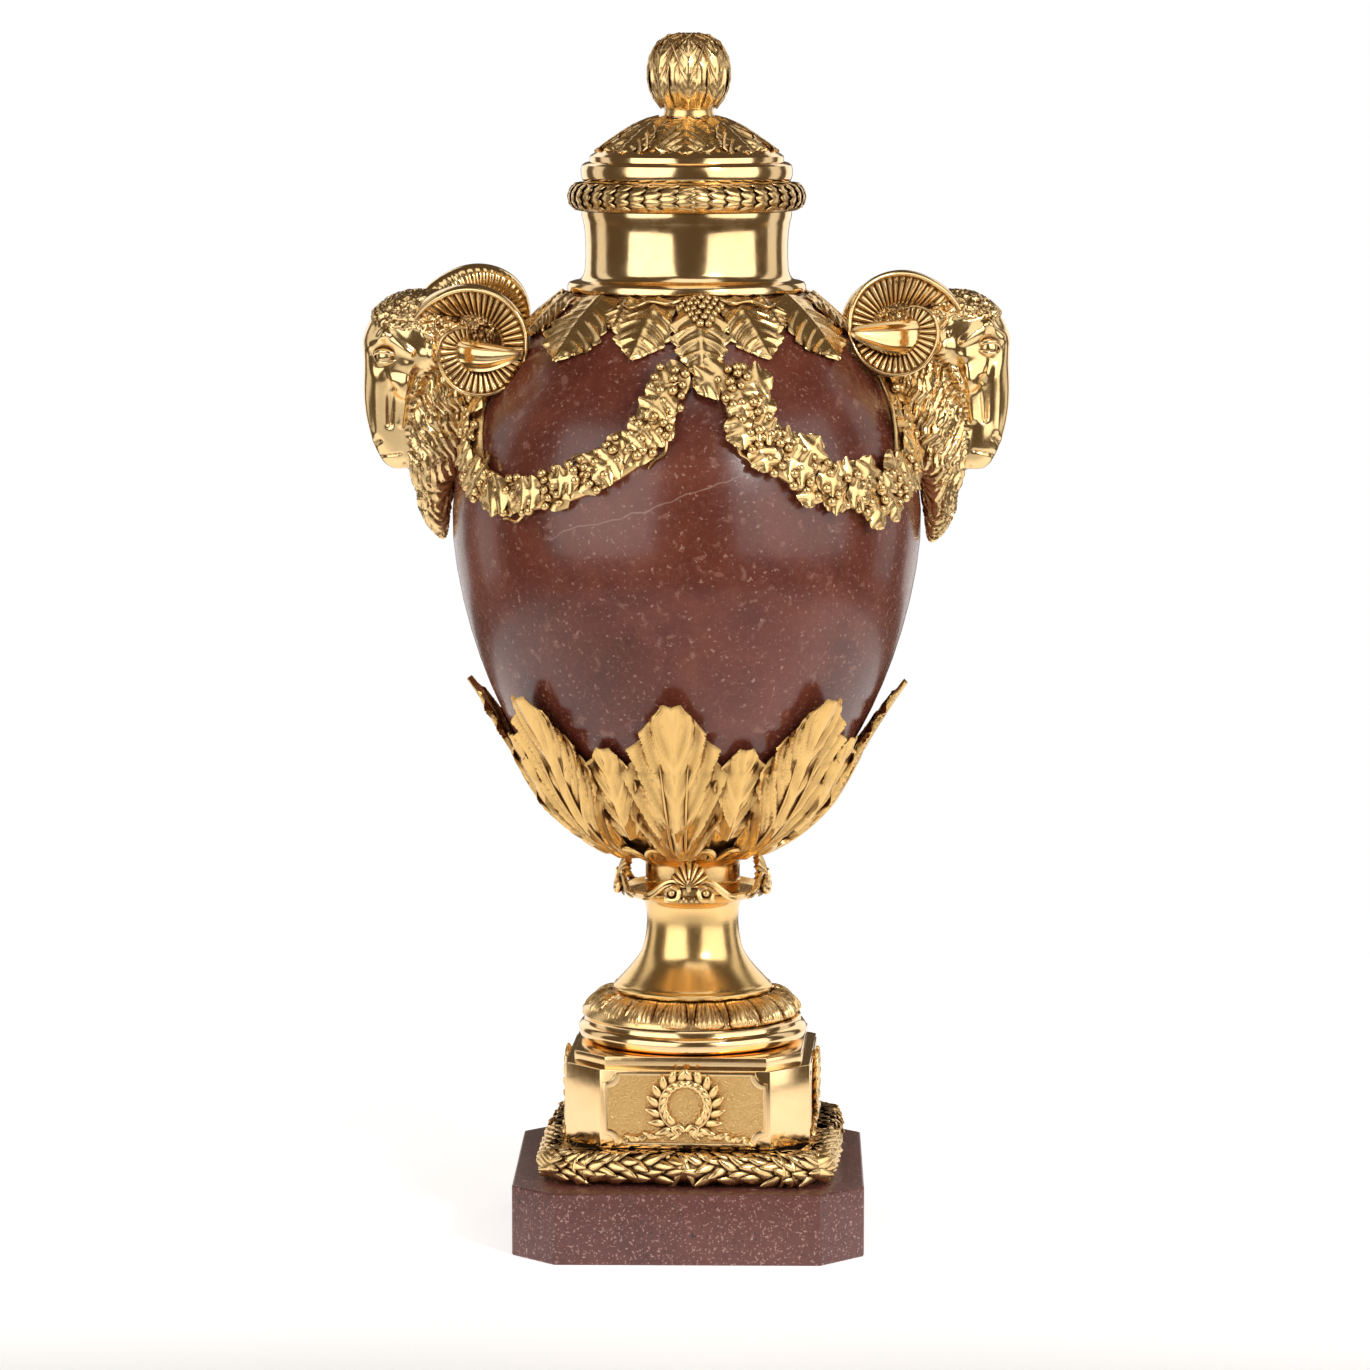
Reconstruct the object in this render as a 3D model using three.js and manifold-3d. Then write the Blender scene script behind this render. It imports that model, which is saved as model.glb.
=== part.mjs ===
// Covered urn: a hollow egg of polished red marble on a marble plinth, in gilt bronze mounts.
// Two rams' heads and four vine swags hang on its shoulder, acanthus leaves hold it from below,
// and a leafy lid rests in its neck. Millimetres, Z up, origin at the centre of the plinth's underside.
// Turns go round the Z axis in degrees, from the front (-Y) towards +X.

import * as THREE from "three";
import { mergeVertices } from "three/addons/utils/BufferGeometryUtils.js";
import Module from "manifold-3d";

const wasm = await Module();
wasm.setup();

// Clear space between one casting and the next
const GAP = 0.3;

// How far the bolted mounts are turned from square with the plinth
const PEDESTAL_TURN = -2.5;
const CUP_TURN = -3;
const RAM_TURN = 2;
const GARLAND_TURN = 5.5;

// How far the plinth, the bronze foot and the bud sit to the right of the urn's axis
const PLINTH_SHIFT = 1.7;
const FOOT_SHIFT = 3;
const BUD_SHIFT = 1;

// Marble plinth, a square slab with cut corners
const PLINTH_WIDTH = 174;
const PLINTH_CORNER = 21.5;
const PLINTH_HEIGHT = 35.5;
const PLINTH_ARRIS = 1.2;

// Laurel moulding, a rounded square that the pedestal stands on
const LAUREL_HALF = 73;
const LAUREL_TOP = 52.5;
const LAUREL_SQUARENESS = 8;
const LAUREL_LEAF_RISE = 1.3;

// Pedestal: a block with cut corners and sunk panels, and a lower step on it
const PEDESTAL_HALF = 60.8;
const PEDESTAL_CORNER = 18.7;
const PEDESTAL_TOP = 92.3;
const STEP_HALF = 56.5;
const STEP_CORNER = 16.5;
const STEP_TOP = 98;
const PANEL = { width: 77, height: 33.6, notch: 6.5, depth: 1.5, centre: 72.9 };
const WREATH = { rib: 13.5, leaf: 20, dip: 16.5, rise: 5, centre: 74.7, flatten: 0.86 };
const WREATH_LEAVES = 7;

// Stem, from the round step up to the shell collar
const ROUND_STEP_TOP = 110.3;
const LEAF_MOULDING_TOP = 122.6;
const STEM_TOP = 169.5;
const WATER_LEAVES = 18;
const COLLAR_FLOOR = 173;
const SEAT_TOP = 192.8;

// Marble egg: a half ellipse above its widest ring, a leaner curve below it
const BODY_RADIUS = 117;
const BELLY = 358;
const SHOULDER_RISE = 132;
const LOWER_FALL = 166;
const LOWER_BEND = 1.6;
const LOWER_POWER = 0.465;
const BODY_BASE = 214;
const BODY_TOP = 471.7;
const BODY_WALL = 11;
const MOUTH_RADIUS = 45;

// Neck, rim wreath, lid and bud
const NECK_BORE = 44;
const NECK_TOP = 512.7;
const RIM_TOP = 526.7;
const LID_FLANGE = 45.4;
const LID_TOP = 558.5;
const BUD_TOP = 600.8;

const GILT = { color: 0xd9a441, roughness: 0.22, metalness: 1 };
const SATIN_GILT = { color: 0xc79345, roughness: 0.42, metalness: 1 };
const MARBLE = { color: 0x6e332c, roughness: 0.2, metalness: 0 };
const PLINTH_MARBLE = { color: 0x74403a, roughness: 0.4, metalness: 0 };

const radians = THREE.MathUtils.degToRad;
const { lerp } = THREE.MathUtils;

// The position on its own, with shared points joined, no empty triangles, and faces pointing out
function closed(geometry) {
  geometry.deleteAttribute("normal");
  geometry.deleteAttribute("uv");
  const merged = mergeVertices(geometry, 1e-3);
  const corners = merged.index.array;
  const kept = [];
  for (let i = 0; i < corners.length; i += 3) {
    const [a, b, c] = corners.slice(i, i + 3);
    if (a !== b && b !== c && c !== a) kept.push(a, b, c);
  }
  if (volume(merged.attributes.position, kept) < 0) kept.reverse();
  merged.setIndex(kept);
  return merged;
}

// Six times the volume inside a closed set of triangles, negative when they face inwards
function volume(position, corners) {
  const [a, b, c] = [new THREE.Vector3(), new THREE.Vector3(), new THREE.Vector3()];
  let sum = 0;
  for (let i = 0; i < corners.length; i += 3) {
    a.fromBufferAttribute(position, corners[i]);
    b.fromBufferAttribute(position, corners[i + 1]);
    c.fromBufferAttribute(position, corners[i + 2]);
    sum += a.dot(b.cross(c));
  }
  return sum;
}

function toSolid(geometry) {
  return new wasm.Manifold(new wasm.Mesh({
    numProp: 3,
    vertProperties: new Float32Array(geometry.attributes.position.array),
    triVerts: new Uint32Array(geometry.index.array),
  }));
}

function toGeometry(solid) {
  const mesh = solid.getMesh();
  const geometry = new THREE.BufferGeometry();
  geometry.setAttribute("position", new THREE.BufferAttribute(mesh.vertProperties, 3));
  geometry.setIndex(new THREE.BufferAttribute(mesh.triVerts, 1));
  return geometry;
}

function joined(pieces) {
  return pieces.map(toSolid).reduce((whole, piece) => whole.add(piece));
}

// A point at a turn round the axis
function around(turn, radius, height) {
  const angle = radians(turn);
  return [radius * Math.sin(angle), -radius * Math.cos(angle), height];
}

// A lathe piece whose points are placed one by one: place(column, row) gives turn, radius, height.
// A ring closes its last row on its first, and a solid starts and ends on the axis.
function wrought(columns, rows, place, ring = false) {
  const profileLength = ring ? rows + 1 : rows;
  const profile = Array.from({ length: profileLength }, (_, row) => new THREE.Vector2(row + 1, row));
  const geometry = new THREE.LatheGeometry(profile, columns);
  for (let column = 0; column <= columns; column += 1) {
    for (let row = 0; row < profileLength; row += 1) {
      const spot = around(...place(column % columns, row % rows));
      geometry.attributes.position.setXYZ(column * profileLength + row, ...spot);
    }
  }
  return closed(geometry);
}

// A plain turned piece from its profile of [radius, height]
function turned(columns, profile, ring = false) {
  return wrought(columns, profile.length, (column, row) => [column * 360 / columns, ...profile[row]], ring);
}

// Columns round the axis from half of one repeat, [turn, ...values]: the half is mirrored and repeated
function repeated(half, times) {
  const span = half.at(-1)[0];
  const there = half.slice(0, -1);
  const back = half.slice(1).reverse().map(([turn, ...rest]) => [2 * span - turn, ...rest]);
  const whole = [...there, ...back];
  const columns = [];
  for (let i = 0; i < times; i += 1) {
    columns.push(...whole.map(([turn, ...rest]) => [turn + 2 * span * i, ...rest]));
  }
  return columns;
}

// A closed bar with tapering sections: place(along, side, depth) gives each point from its place
// along the bar, 0 to 1, and its place on the section's unit circle
function loft(sides, steps, place) {
  const geometry = new THREE.CylinderGeometry(1, 1, 1, sides, steps);
  const { position } = geometry.attributes;
  const point = new THREE.Vector3();
  for (let i = 0; i < position.count; i += 1) {
    point.fromBufferAttribute(position, i);
    const along = Math.round((0.5 - point.y) * steps) / steps;
    position.setXYZ(i, ...place(along, point.x, point.z));
  }
  return closed(geometry);
}

// Values between the rows of a short table whose first column rises
function between(table, at) {
  const next = Math.max(1, table.findIndex((row) => row[0] >= at));
  const [low, high] = [table[next - 1], table[next]];
  const share = (at - low[0]) / (high[0] - low[0]);
  return low.map((value, i) => lerp(value, high[i], share));
}

function octagon(half, corner) {
  const inner = half - corner;
  const shape = new THREE.Shape();
  shape.moveTo(-inner, -half);
  for (const [x, y] of [[inner, -half], [half, -inner], [half, inner], [inner, half]]) shape.lineTo(x, y);
  for (const [x, y] of [[-inner, half], [-half, inner], [-half, -inner]]) shape.lineTo(x, y);
  return shape;
}

function slab(half, corner, low, high) {
  const geometry = new THREE.ExtrudeGeometry(octagon(half, corner), { depth: high - low, bevelEnabled: false });
  geometry.translate(0, 0, low);
  return closed(geometry);
}

// The marble's outer radius at a height, and the slope of its side there
function bodyRadius(height) {
  if (height > BELLY) return BODY_RADIUS * Math.sqrt(1 - ((height - BELLY) / SHOULDER_RISE) ** 2);
  const depth = (BELLY - height) / LOWER_FALL;
  return BODY_RADIUS * (1 - depth ** LOWER_BEND) ** LOWER_POWER;
}

function bodySlope(height) {
  return bodyRadius(height + 0.5) - bodyRadius(height - 0.5);
}

// Radius and height of a point lifted square off the marble's side
function offBody(height, lift) {
  const slope = bodySlope(height);
  const length = Math.hypot(1, slope);
  return [bodyRadius(height) + lift / length, height - lift * slope / length];
}

function marblePlinth() {
  const geometry = new THREE.ExtrudeGeometry(octagon(PLINTH_WIDTH / 2, PLINTH_CORNER), {
    depth: PLINTH_HEIGHT - 2 * PLINTH_ARRIS,
    bevelThickness: PLINTH_ARRIS,
    bevelSize: PLINTH_ARRIS,
    bevelOffset: -PLINTH_ARRIS,
    bevelSegments: 1,
  });
  geometry.translate(0, 0, PLINTH_ARRIS);
  return closed(geometry);
}

// Laurel leaves laid in a roll round a rounded square, in slanting rows
function laurelMoulding() {
  const columns = 64;
  const base = PLINTH_HEIGHT + GAP;
  const profile = [[0, base], [0.97, base], [1, 44.5], [0.93, LAUREL_TOP], [0, LAUREL_TOP]];
  return wrought(columns, profile.length, (column, row) => {
    const turn = column * 360 / columns;
    const cos = Math.abs(Math.cos(radians(turn)));
    const sin = Math.abs(Math.sin(radians(turn)));
    const reach = LAUREL_HALF / (cos ** LAUREL_SQUARENESS + sin ** LAUREL_SQUARENESS) ** (1 / LAUREL_SQUARENESS);
    const raised = (column + row) % 2 === 0 ? 0 : LAUREL_LEAF_RISE;
    const [share, height] = profile[row];
    return [turn, share * (reach - raised), height];
  });
}

// Outline of a sunk panel, its corners cut away in quarter rounds
function panelShape() {
  const { width, height, notch } = PANEL;
  const [x, y] = [width / 2, height / 2];
  const shape = new THREE.Shape();
  shape.moveTo(-x + notch, -y);
  shape.lineTo(x - notch, -y);
  shape.absarc(x, -y, notch, Math.PI, Math.PI / 2, true);
  shape.lineTo(x, y - notch);
  shape.absarc(x, y, notch, -Math.PI / 2, -Math.PI, true);
  shape.lineTo(-x + notch, y);
  shape.absarc(-x, y, notch, 0, -Math.PI / 2, true);
  shape.lineTo(-x, -y + notch);
  shape.absarc(-x, -y, notch, Math.PI / 2, 0, true);
  return shape;
}

// Lays a piece drawn in X and Y, and rising in Z, on one face of the pedestal
function onPedestalFace(geometry, face, out, height) {
  geometry.rotateX(Math.PI / 2);
  geometry.translate(0, -out, height);
  geometry.rotateZ(face * Math.PI / 2);
  return closed(geometry);
}

// A wreath in low relief: its ridge runs round a ring, its leaves make the outer edge jagged
function wreath() {
  const { rib, leaf, dip, rise, flatten } = WREATH;
  const columns = 2 * WREATH_LEAVES;
  const geometry = wrought(columns, 3, (column, row) => {
    const edge = column % 2 ? leaf : dip;
    const [radius, height] = [[edge, -0.6], [rib, rise], [rib / 2, -0.6]][row];
    return [column * 360 / columns, radius, height];
  }, true);
  return geometry.scale(1, flatten, 1);
}

function pedestal() {
  const block = slab(PEDESTAL_HALF, PEDESTAL_CORNER, LAUREL_TOP + GAP, PEDESTAL_TOP);
  let solid = toSolid(block).add(toSolid(slab(STEP_HALF, STEP_CORNER, PEDESTAL_TOP - 1, STEP_TOP)));
  const ground = PEDESTAL_HALF - PANEL.depth;
  for (let face = 0; face < 4; face += 1) {
    const recess = new THREE.ExtrudeGeometry(panelShape(), { depth: 4, bevelEnabled: false, curveSegments: 2 });
    solid = solid.subtract(toSolid(onPedestalFace(recess, face, ground, PANEL.centre)));
    solid = solid.add(toSolid(onPedestalFace(wreath(), face, ground, WREATH.centre)));
  }
  return toGeometry(solid);
}

function roundStep() {
  return turned(20, [[0, STEP_TOP + GAP], [53, STEP_TOP + GAP], [57.2, 101], [57.2, 105.5], [54.5, 107.4],
    [54.5, ROUND_STEP_TOP], [0, ROUND_STEP_TOP]]);
}

// A swelling moulding under the stem, wrapped in water leaves that point down
function leafMoulding() {
  const base = ROUND_STEP_TOP + GAP;
  const profile = [[0, base], [53.2, base], [52.4, 116], [46.8, LEAF_MOULDING_TOP], [0, LEAF_MOULDING_TOP]];
  const rises = [1.2, -1.6, 0.2, -1.6];
  return wrought(4 * WATER_LEAVES, profile.length, (column, row) => {
    const [radius, height] = profile[row];
    const lobe = radius > 42 ? rises[column % 4] : 0;
    return [column * 90 / WATER_LEAVES, radius + lobe, height];
  });
}

function stem() {
  const base = LEAF_MOULDING_TOP + GAP;
  return turned(20, [[0, base], [39.5, base], [39.5, 125.6], [37, 128.2], [30.2, 135.2], [25.4, 142],
    [23.1, 156], [23.5, 165], [26.6, STEM_TOP], [0, STEM_TOP]]);
}

// A shallow dish whose rim rises in four scallop shells with sweeping sides
function shellCollar() {
  const half = [[0, 192.3, 1], [9, 190.8, 0.4], [16, 186, 1], [18, 182.5, 0.4], [24, 180.5, 1], [45, 174.6, 0]];
  const columns = repeated(half, 4);
  const base = STEM_TOP + GAP;
  return wrought(columns.length, 7, (column, row) => {
    const [turn, top, relief] = columns[column];
    const rise = top - base;
    const waist = base + 0.38 * rise;
    const outer = 37 - 0.13 * rise + relief;
    const profile = [[0, base], [26.5, base], [outer + 0.15 * rise, waist], [outer, top], [outer - 2.4, top],
      [31, COLLAR_FLOOR], [0, COLLAR_FLOOR]];
    return [turn, ...profile[row]];
  });
}

function bodySeat() {
  const base = COLLAR_FLOOR + GAP;
  return turned(20, [[0, base], [23.6, base], [23.6, 187], [26, 190.6], [30.5, SEAT_TOP], [0, SEAT_TOP]]);
}

// Acanthus cup: eight large leaves and eight small ones between them, grown together into a bowl.
// Half a repeat, from the rib of a large leaf to the rib of a small one: turn, edge height, relief
function acanthusCup() {
  const half = [[0, 283, 1.5], [3, 279.5, 0], [4.4, 270, -0.6], [8, 270, 0.8], [9, 260, -0.6], [12.4, 257.5, 0.8],
    [13.8, 247.5, -1.8], [22.5, 258.5, 1.2]];
  const columns = repeated(half, 8);
  const base = SEAT_TOP + GAP;
  const rootHeight = 226;
  const innerHeight = 238;
  const highestTip = half[0][1];
  return wrought(columns.length, 9, (column, row) => {
    const [turn, top, relief] = columns[column];
    const flare = 4 * Math.max(0, (top - 250) / (highestTip - 250));
    const [innerRadius] = offBody(innerHeight, 0.8);
    const profile = [[0, base], [30, base], [53, 202.5], [75.4 + relief, rootHeight],
      [bodyRadius(top) + flare + 2.8 + relief, top - 0.8], [bodyRadius(top) + flare + 0.5, top],
      [innerRadius, innerHeight], [56.5, BODY_BASE - 0.4], [0, BODY_BASE - 0.4]];
    return [turn, ...profile[row]];
  });
}

function marbleBody() {
  const outside = [BODY_BASE, 238, 262, 290, 320, BELLY, 392, 422, 446, 462].map((z) => [bodyRadius(z), z]);
  const inside = [445, 365, 280].map((z) => offBody(z, -BODY_WALL));
  return turned(24, [[0, BODY_BASE], ...outside, [58.4, BODY_TOP], [MOUTH_RADIUS, BODY_TOP], ...inside,
    [48, 234], [0, 230]]);
}

// Vine leaves lying on the shoulder. A quarter, from the middle of the join to the ram:
// turn, height of the leaf's edge, relief, and how far the leaf stands off over the swags
function vineCollar() {
  const quarter = [[0, 430, 1, 10.5], [4, 437, 0, 10.2], [7.5, 447, -0.6, 6], [11.5, 447, 0.3, 2], [15.5, 443, 1, 1.3],
    [19, 449, 0, 1.3], [23.5, 451, 0.8, 1.3], [29.5, 461, -0.6, 1.3], [35.5, 452, 0.3, 1.3], [41, 450, 0, 1.3],
    [47, 442.5, 1, 1.3], [52.5, 452, 0, 1.3], [60, 459, 0, 1.3], [74, 455, 0.4, 1.9], [90, 456, 0, 1.9]];
  const columns = repeated(quarter, 2);
  const top = 470.3;
  return wrought(columns.length, 5, (column, row) => {
    const [turn, edge, relief, stand] = columns[column];
    const mid = lerp(top, edge, 0.5);
    const inner = lerp(1.3, stand, 0.5);
    const profile = [offBody(top, 1.6), offBody(mid, inner + 2.2 + relief), offBody(edge, stand + 1.8 + relief),
      offBody(edge, stand), offBody(mid, inner)];
    return [turn + GARLAND_TURN, ...profile[row]];
  }, true);
}

function neckMount() {
  const base = BODY_TOP + GAP;
  return turned(20, [[58.5, base], [58.5, 477.5], [52.5, 479.3], [50.3, 482.5], [50.3, 503], [52, 509.5],
    [52, NECK_TOP], [NECK_BORE, NECK_TOP], [NECK_BORE, base]], true);
}

// Leaf-wrapped roll round the mouth
function rimWreath() {
  const columns = 32;
  const base = NECK_TOP + GAP;
  const profile = [[46, base], [55.6, base], [58.6, 518], [57.6, 525], [51.5, RIM_TOP], [46, RIM_TOP]];
  return wrought(columns, profile.length, (column, row) => {
    const [radius, height] = profile[row];
    const leaf = radius > 53 && (column + row) % 2 ? 1.2 : 0;
    return [column * 360 / columns, radius + leaf, height];
  }, true);
}

// Lid: a flange that drops inside the rim, a moulded edge, a dome of leaves, hollow below
function lid() {
  const columns = 20;
  const profile = [[0, 551.5], [21, 549.5], [42, 535], [42, 519], [LID_FLANGE, 519], [LID_FLANGE, 527.1],
    [51, 527.1], [52, 531.5], [52, 535.3], [48, 537], [48, 540], [37.3, 547.4], [25.6, 554.6],
    [12.5, LID_TOP], [0, LID_TOP]];
  return wrought(columns, profile.length, (column, row) => {
    const [radius, height] = profile[row];
    const onDome = radius > 20 && row > 10;
    const leaf = onDome && column % 2 ? 1.2 : 0;
    return [column * 360 / columns, radius + leaf, height + leaf / 2];
  });
}

// Round bud on the lid, wrapped in leaves whose tips point up
function bud() {
  const columns = 16;
  const base = LID_TOP + GAP;
  const profile = [[0, base], [12.3, base], [12.3, 562], [14.5, 565.7], [19.4, 573.2], [20.6, 583.3], [17.4, 593],
    [9.6, 599.2], [0, BUD_TOP]];
  return wrought(columns, profile.length, (column, row) => {
    const [radius, height] = profile[row];
    const leaf = radius > 14 && column % 2 ? 1 : 0;
    return [column * 360 / columns, radius + leaf, height];
  });
}

// Swag of grapes and leaves on the marble. side is 1 or -1 from the join, span its turn to the ram.
// Its middle line, from the join to the ram: share of the span, height
function swag(join, side, span) {
  const line = new THREE.SplineCurve([[0.11, 437], [0.145, 420], [0.22, 403], [0.35, 390], [0.5, 381.8],
    [0.66, 377.8], [0.8, 382.5], [0.9, 394], [0.985, 412]].map(([share, height]) => new THREE.Vector2(share, height)));
  const [sides, steps] = [8, 11];
  return loft(sides, steps, (along, across, out) => {
    const middle = line.getPoint(along);
    const ahead = line.getPoint(Math.min(1, along + 0.01)).sub(line.getPoint(Math.max(0, along - 0.01)));
    const radius = bodyRadius(middle.y);
    const easting = ahead.x * radians(span) * radius;
    const length = Math.hypot(easting, ahead.y);
    const ring = Math.round(along * steps);
    const strand = Math.round(Math.atan2(across, out) / (2 * Math.PI / sides)) + sides;
    const lump = (ring + strand) % 2 ? 1.12 : 0.9;
    const atEnd = ring === 0 || ring === steps ? 0.8 : 1;
    const taper = lerp(1.08, 0.86, along) * lerp(1, 0.6, Math.max(0, 4 * along - 3)) * atEnd;
    const shift = across * 12.6 * lump * taper;
    const height = middle.y + shift * (easting / length);
    const turn = join + side * (middle.x * span - shift * (ahead.y / length) / radians(radius));
    const lift = 0.7 + Math.max(0, out) * 9 * lump * Math.sqrt(taper);
    return around(turn, ...offBody(height, lift));
  });
}

// Ram's head, looking along +X: a bar of level sections from the wool cap to the lips.
// height, middle, half depth, half width
function ramFace() {
  const sections = [[384.8, 143, 4.5, 6], [391, 144.3, 8.4, 9], [402, 146, 11.2, 11.5], [417, 145.2, 14.8, 13],
    [431, 142.2, 18, 17], [441, 139.5, 20.5, 21.5], [450, 138.5, 22, 22.5], [460, 135.5, 21, 20],
    [467, 133, 17, 15.5], [472.3, 131, 9, 9]];
  return loft(8, sections.length - 1, (along, across, out) => {
    const [height, middle, depth, width] = sections[Math.round(along * (sections.length - 1))];
    return [middle + out * depth, across * width, height];
  });
}

// Neck and chest hair down to the hanging tuft, backed by the marble
function ramNeck() {
  const sections = [[348, 121.5, 2, 2.5], [353.5, 123.6, 4.6, 6.5], [361, 125.2, 6.8, 10], [371, 125.4, 8, 13],
    [378.5, 125.5, 10.5, 15], [386, 123.5, 16, 17], [404, 121, 19, 18.5], [425, 118, 22, 19],
    [448, 114, 23, 17], [461, 112, 21, 14], [466, 113, 14, 9]];
  return loft(8, sections.length - 1, (along, across, out) => {
    const row = Math.round(along * (sections.length - 1));
    const [height, middle, depth, width] = sections[row];
    const lock = row % 2 ? 1 : 0.93;
    return [middle + out * depth, across * width * lock, height];
  });
}

// Curling horn: its middle line winds round a point beside the head.
// turn of the winding, distance from that point, distance beside the head, half width of the band
function ramHorn(side) {
  const windings = [[8, 29, 13, 8.5], [50, 21.5, 21, 8.8], [95, 17.8, 28, 8.6], [145, 17.6, 34, 7.6],
    [200, 18.2, 37.5, 6.4], [260, 18.6, 39.5, 6], [315, 18.6, 41, 5.6], [365, 16.5, 42.5, 4.8], [410, 9, 42, 2.6]];
  const [centreOut, centreHeight] = [101.5, 454.5];
  const steps = 15;
  const centreLine = (winding) => {
    const [, reach, beside] = between(windings, winding);
    const angle = radians(winding);
    return new THREE.Vector3(centreOut + 0.94 * reach * Math.cos(angle), side * beside,
      centreHeight + 1.04 * reach * Math.sin(angle));
  };
  return loft(5, steps, (along, across, out) => {
    const winding = lerp(windings[0][0], windings.at(-1)[0], along);
    const half = between(windings, winding)[3] * (Math.round(along * steps) % 2 ? 1.04 : 0.96);
    const angle = radians(winding);
    const middle = centreLine(winding);
    const reach = out * half;
    return [middle.x + reach * Math.cos(angle), middle.y + side * across * half * 0.72,
      middle.z + reach * Math.sin(angle)];
  });
}

// Pointed ear, from the cheek out through the horn's loop and back towards the marble
function ramEar(side) {
  const sections = [[0, 122, 16, 450, 3.5], [0.33, 113, 31, 450, 5], [0.67, 98, 39, 449, 6.6], [1, 82, 41, 451, 0.8]];
  return loft(4, 3, (along, across, out) => {
    const [, middle, beside, height, half] = between(sections, along);
    return [middle, side * (beside + out * half * 0.5), height + across * half];
  });
}

// All of one ram, tilted a little as it is bolted on, cut back clear of the marble and the vine leaves
function ramHead(roll) {
  const pieces = [ramFace(), ramNeck(), ramHorn(1), ramHorn(-1), ramEar(1), ramEar(-1)];
  const [rollAngle, rollHeight] = [radians(roll), 435];
  const tilted = pieces.map((piece) => closed(piece.translate(0, 0, -rollHeight).rotateX(rollAngle)
    .translate(0, 0, rollHeight)));
  const clear = [[340, 2], [BELLY, 2], [400, 2], [434, 2], [444, 5.4], [475, 5.4]];
  const outside = clear.map(([height, lift]) => offBody(height, lift));
  const room = turned(24, [[0, 340], ...outside, [0, 480]]);
  return toGeometry(joined(tilted).subtract(toSolid(room)));
}

const urn = new THREE.Group();

function add(name, geometry, finish, turn = 0, shift = 0) {
  const mesh = new THREE.Mesh(geometry, new THREE.MeshStandardMaterial(finish));
  mesh.name = name;
  mesh.rotation.z = radians(turn);
  mesh.position.x = shift;
  urn.add(mesh);
}

add("marble_plinth", marblePlinth(), PLINTH_MARBLE, 0, PLINTH_SHIFT);
add("laurel_moulding", laurelMoulding(), GILT, PEDESTAL_TURN, FOOT_SHIFT);
add("pedestal", pedestal(), GILT, PEDESTAL_TURN, FOOT_SHIFT);
add("round_step", roundStep(), GILT, 0, FOOT_SHIFT);
add("leaf_moulding", leafMoulding(), GILT, 0, FOOT_SHIFT);
add("stem", stem(), SATIN_GILT, 0, FOOT_SHIFT);
add("shell_collar", shellCollar(), SATIN_GILT, 0, FOOT_SHIFT);
add("body_seat", bodySeat(), SATIN_GILT, 0, FOOT_SHIFT);
add("acanthus_cup", acanthusCup(), SATIN_GILT, CUP_TURN);
add("marble_body", marbleBody(), MARBLE);
add("vine_collar", vineCollar(), GILT);
add("neck_mount", neckMount(), GILT);
add("rim_wreath", rimWreath(), GILT);
add("lid", lid(), GILT);
add("bud_knob", bud(), GILT, 0, BUD_SHIFT);

// The rams face right and left, and a swag runs to each side of each ram from the joins
add("ram_head_right", ramHead(-5), GILT, RAM_TURN);
add("ram_head_left", ramHead(-8), GILT, RAM_TURN + 180);
const RAM_CLEARANCE = 15.5;
const NEAR_SPAN = 90 - RAM_CLEARANCE + GARLAND_TURN - RAM_TURN;
const FAR_SPAN = 90 - RAM_CLEARANCE - GARLAND_TURN + RAM_TURN;
add("swag_front_left", swag(GARLAND_TURN, -1, NEAR_SPAN), GILT);
add("swag_front_right", swag(GARLAND_TURN, 1, FAR_SPAN), GILT);
add("swag_back_right", swag(GARLAND_TURN + 180, -1, NEAR_SPAN), GILT);
add("swag_back_left", swag(GARLAND_TURN + 180, 1, FAR_SPAN), GILT);

export default urn;
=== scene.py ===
import math
import random

import bmesh
import bpy
from mathutils import Matrix, Vector, noise


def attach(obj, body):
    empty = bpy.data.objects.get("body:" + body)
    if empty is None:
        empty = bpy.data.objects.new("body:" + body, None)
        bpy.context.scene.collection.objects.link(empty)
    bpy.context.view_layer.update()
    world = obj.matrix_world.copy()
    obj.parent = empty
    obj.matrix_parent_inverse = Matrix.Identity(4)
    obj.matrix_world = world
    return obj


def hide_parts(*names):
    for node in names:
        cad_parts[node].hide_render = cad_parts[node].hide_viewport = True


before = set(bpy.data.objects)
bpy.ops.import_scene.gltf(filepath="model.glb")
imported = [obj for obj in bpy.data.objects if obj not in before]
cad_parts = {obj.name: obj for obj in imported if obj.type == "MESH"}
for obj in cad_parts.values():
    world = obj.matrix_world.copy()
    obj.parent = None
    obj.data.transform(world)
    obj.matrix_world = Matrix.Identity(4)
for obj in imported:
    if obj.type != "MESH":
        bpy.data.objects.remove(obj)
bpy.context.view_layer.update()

# Plinth: a square slab of red marble with cut corners, sawn, honed and eased along its arrises.
# Everything else is bolted on top of it by one rod through the urn. Sizes are in millimetres.
MM = 0.001
PLINTH_SHIFT = 1.7
PLINTH = {"width": 174, "corner": 21.5, "height": 35.5, "arris": 1.1}


def put(tree, kind, label=None, **settings):
    """Adds a shader node with its properties and unlinked sockets set."""
    node = tree.nodes.new("ShaderNode" + kind)
    if label:
        node.label = label
    for key, value in settings.items():
        if hasattr(node, key):
            setattr(node, key, value)
        else:
            node.inputs[key.replace("_", " ")].default_value = value
    return node


def new_material(name):
    """A material with its tree, shader and Object coordinates ready."""
    material = bpy.data.materials.new(name)
    material.use_nodes = True
    tree = material.node_tree
    shader = tree.nodes["Principled BSDF"]
    place = put(tree, "TexCoord").outputs["Object"]
    return material, tree, shader, place


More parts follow.
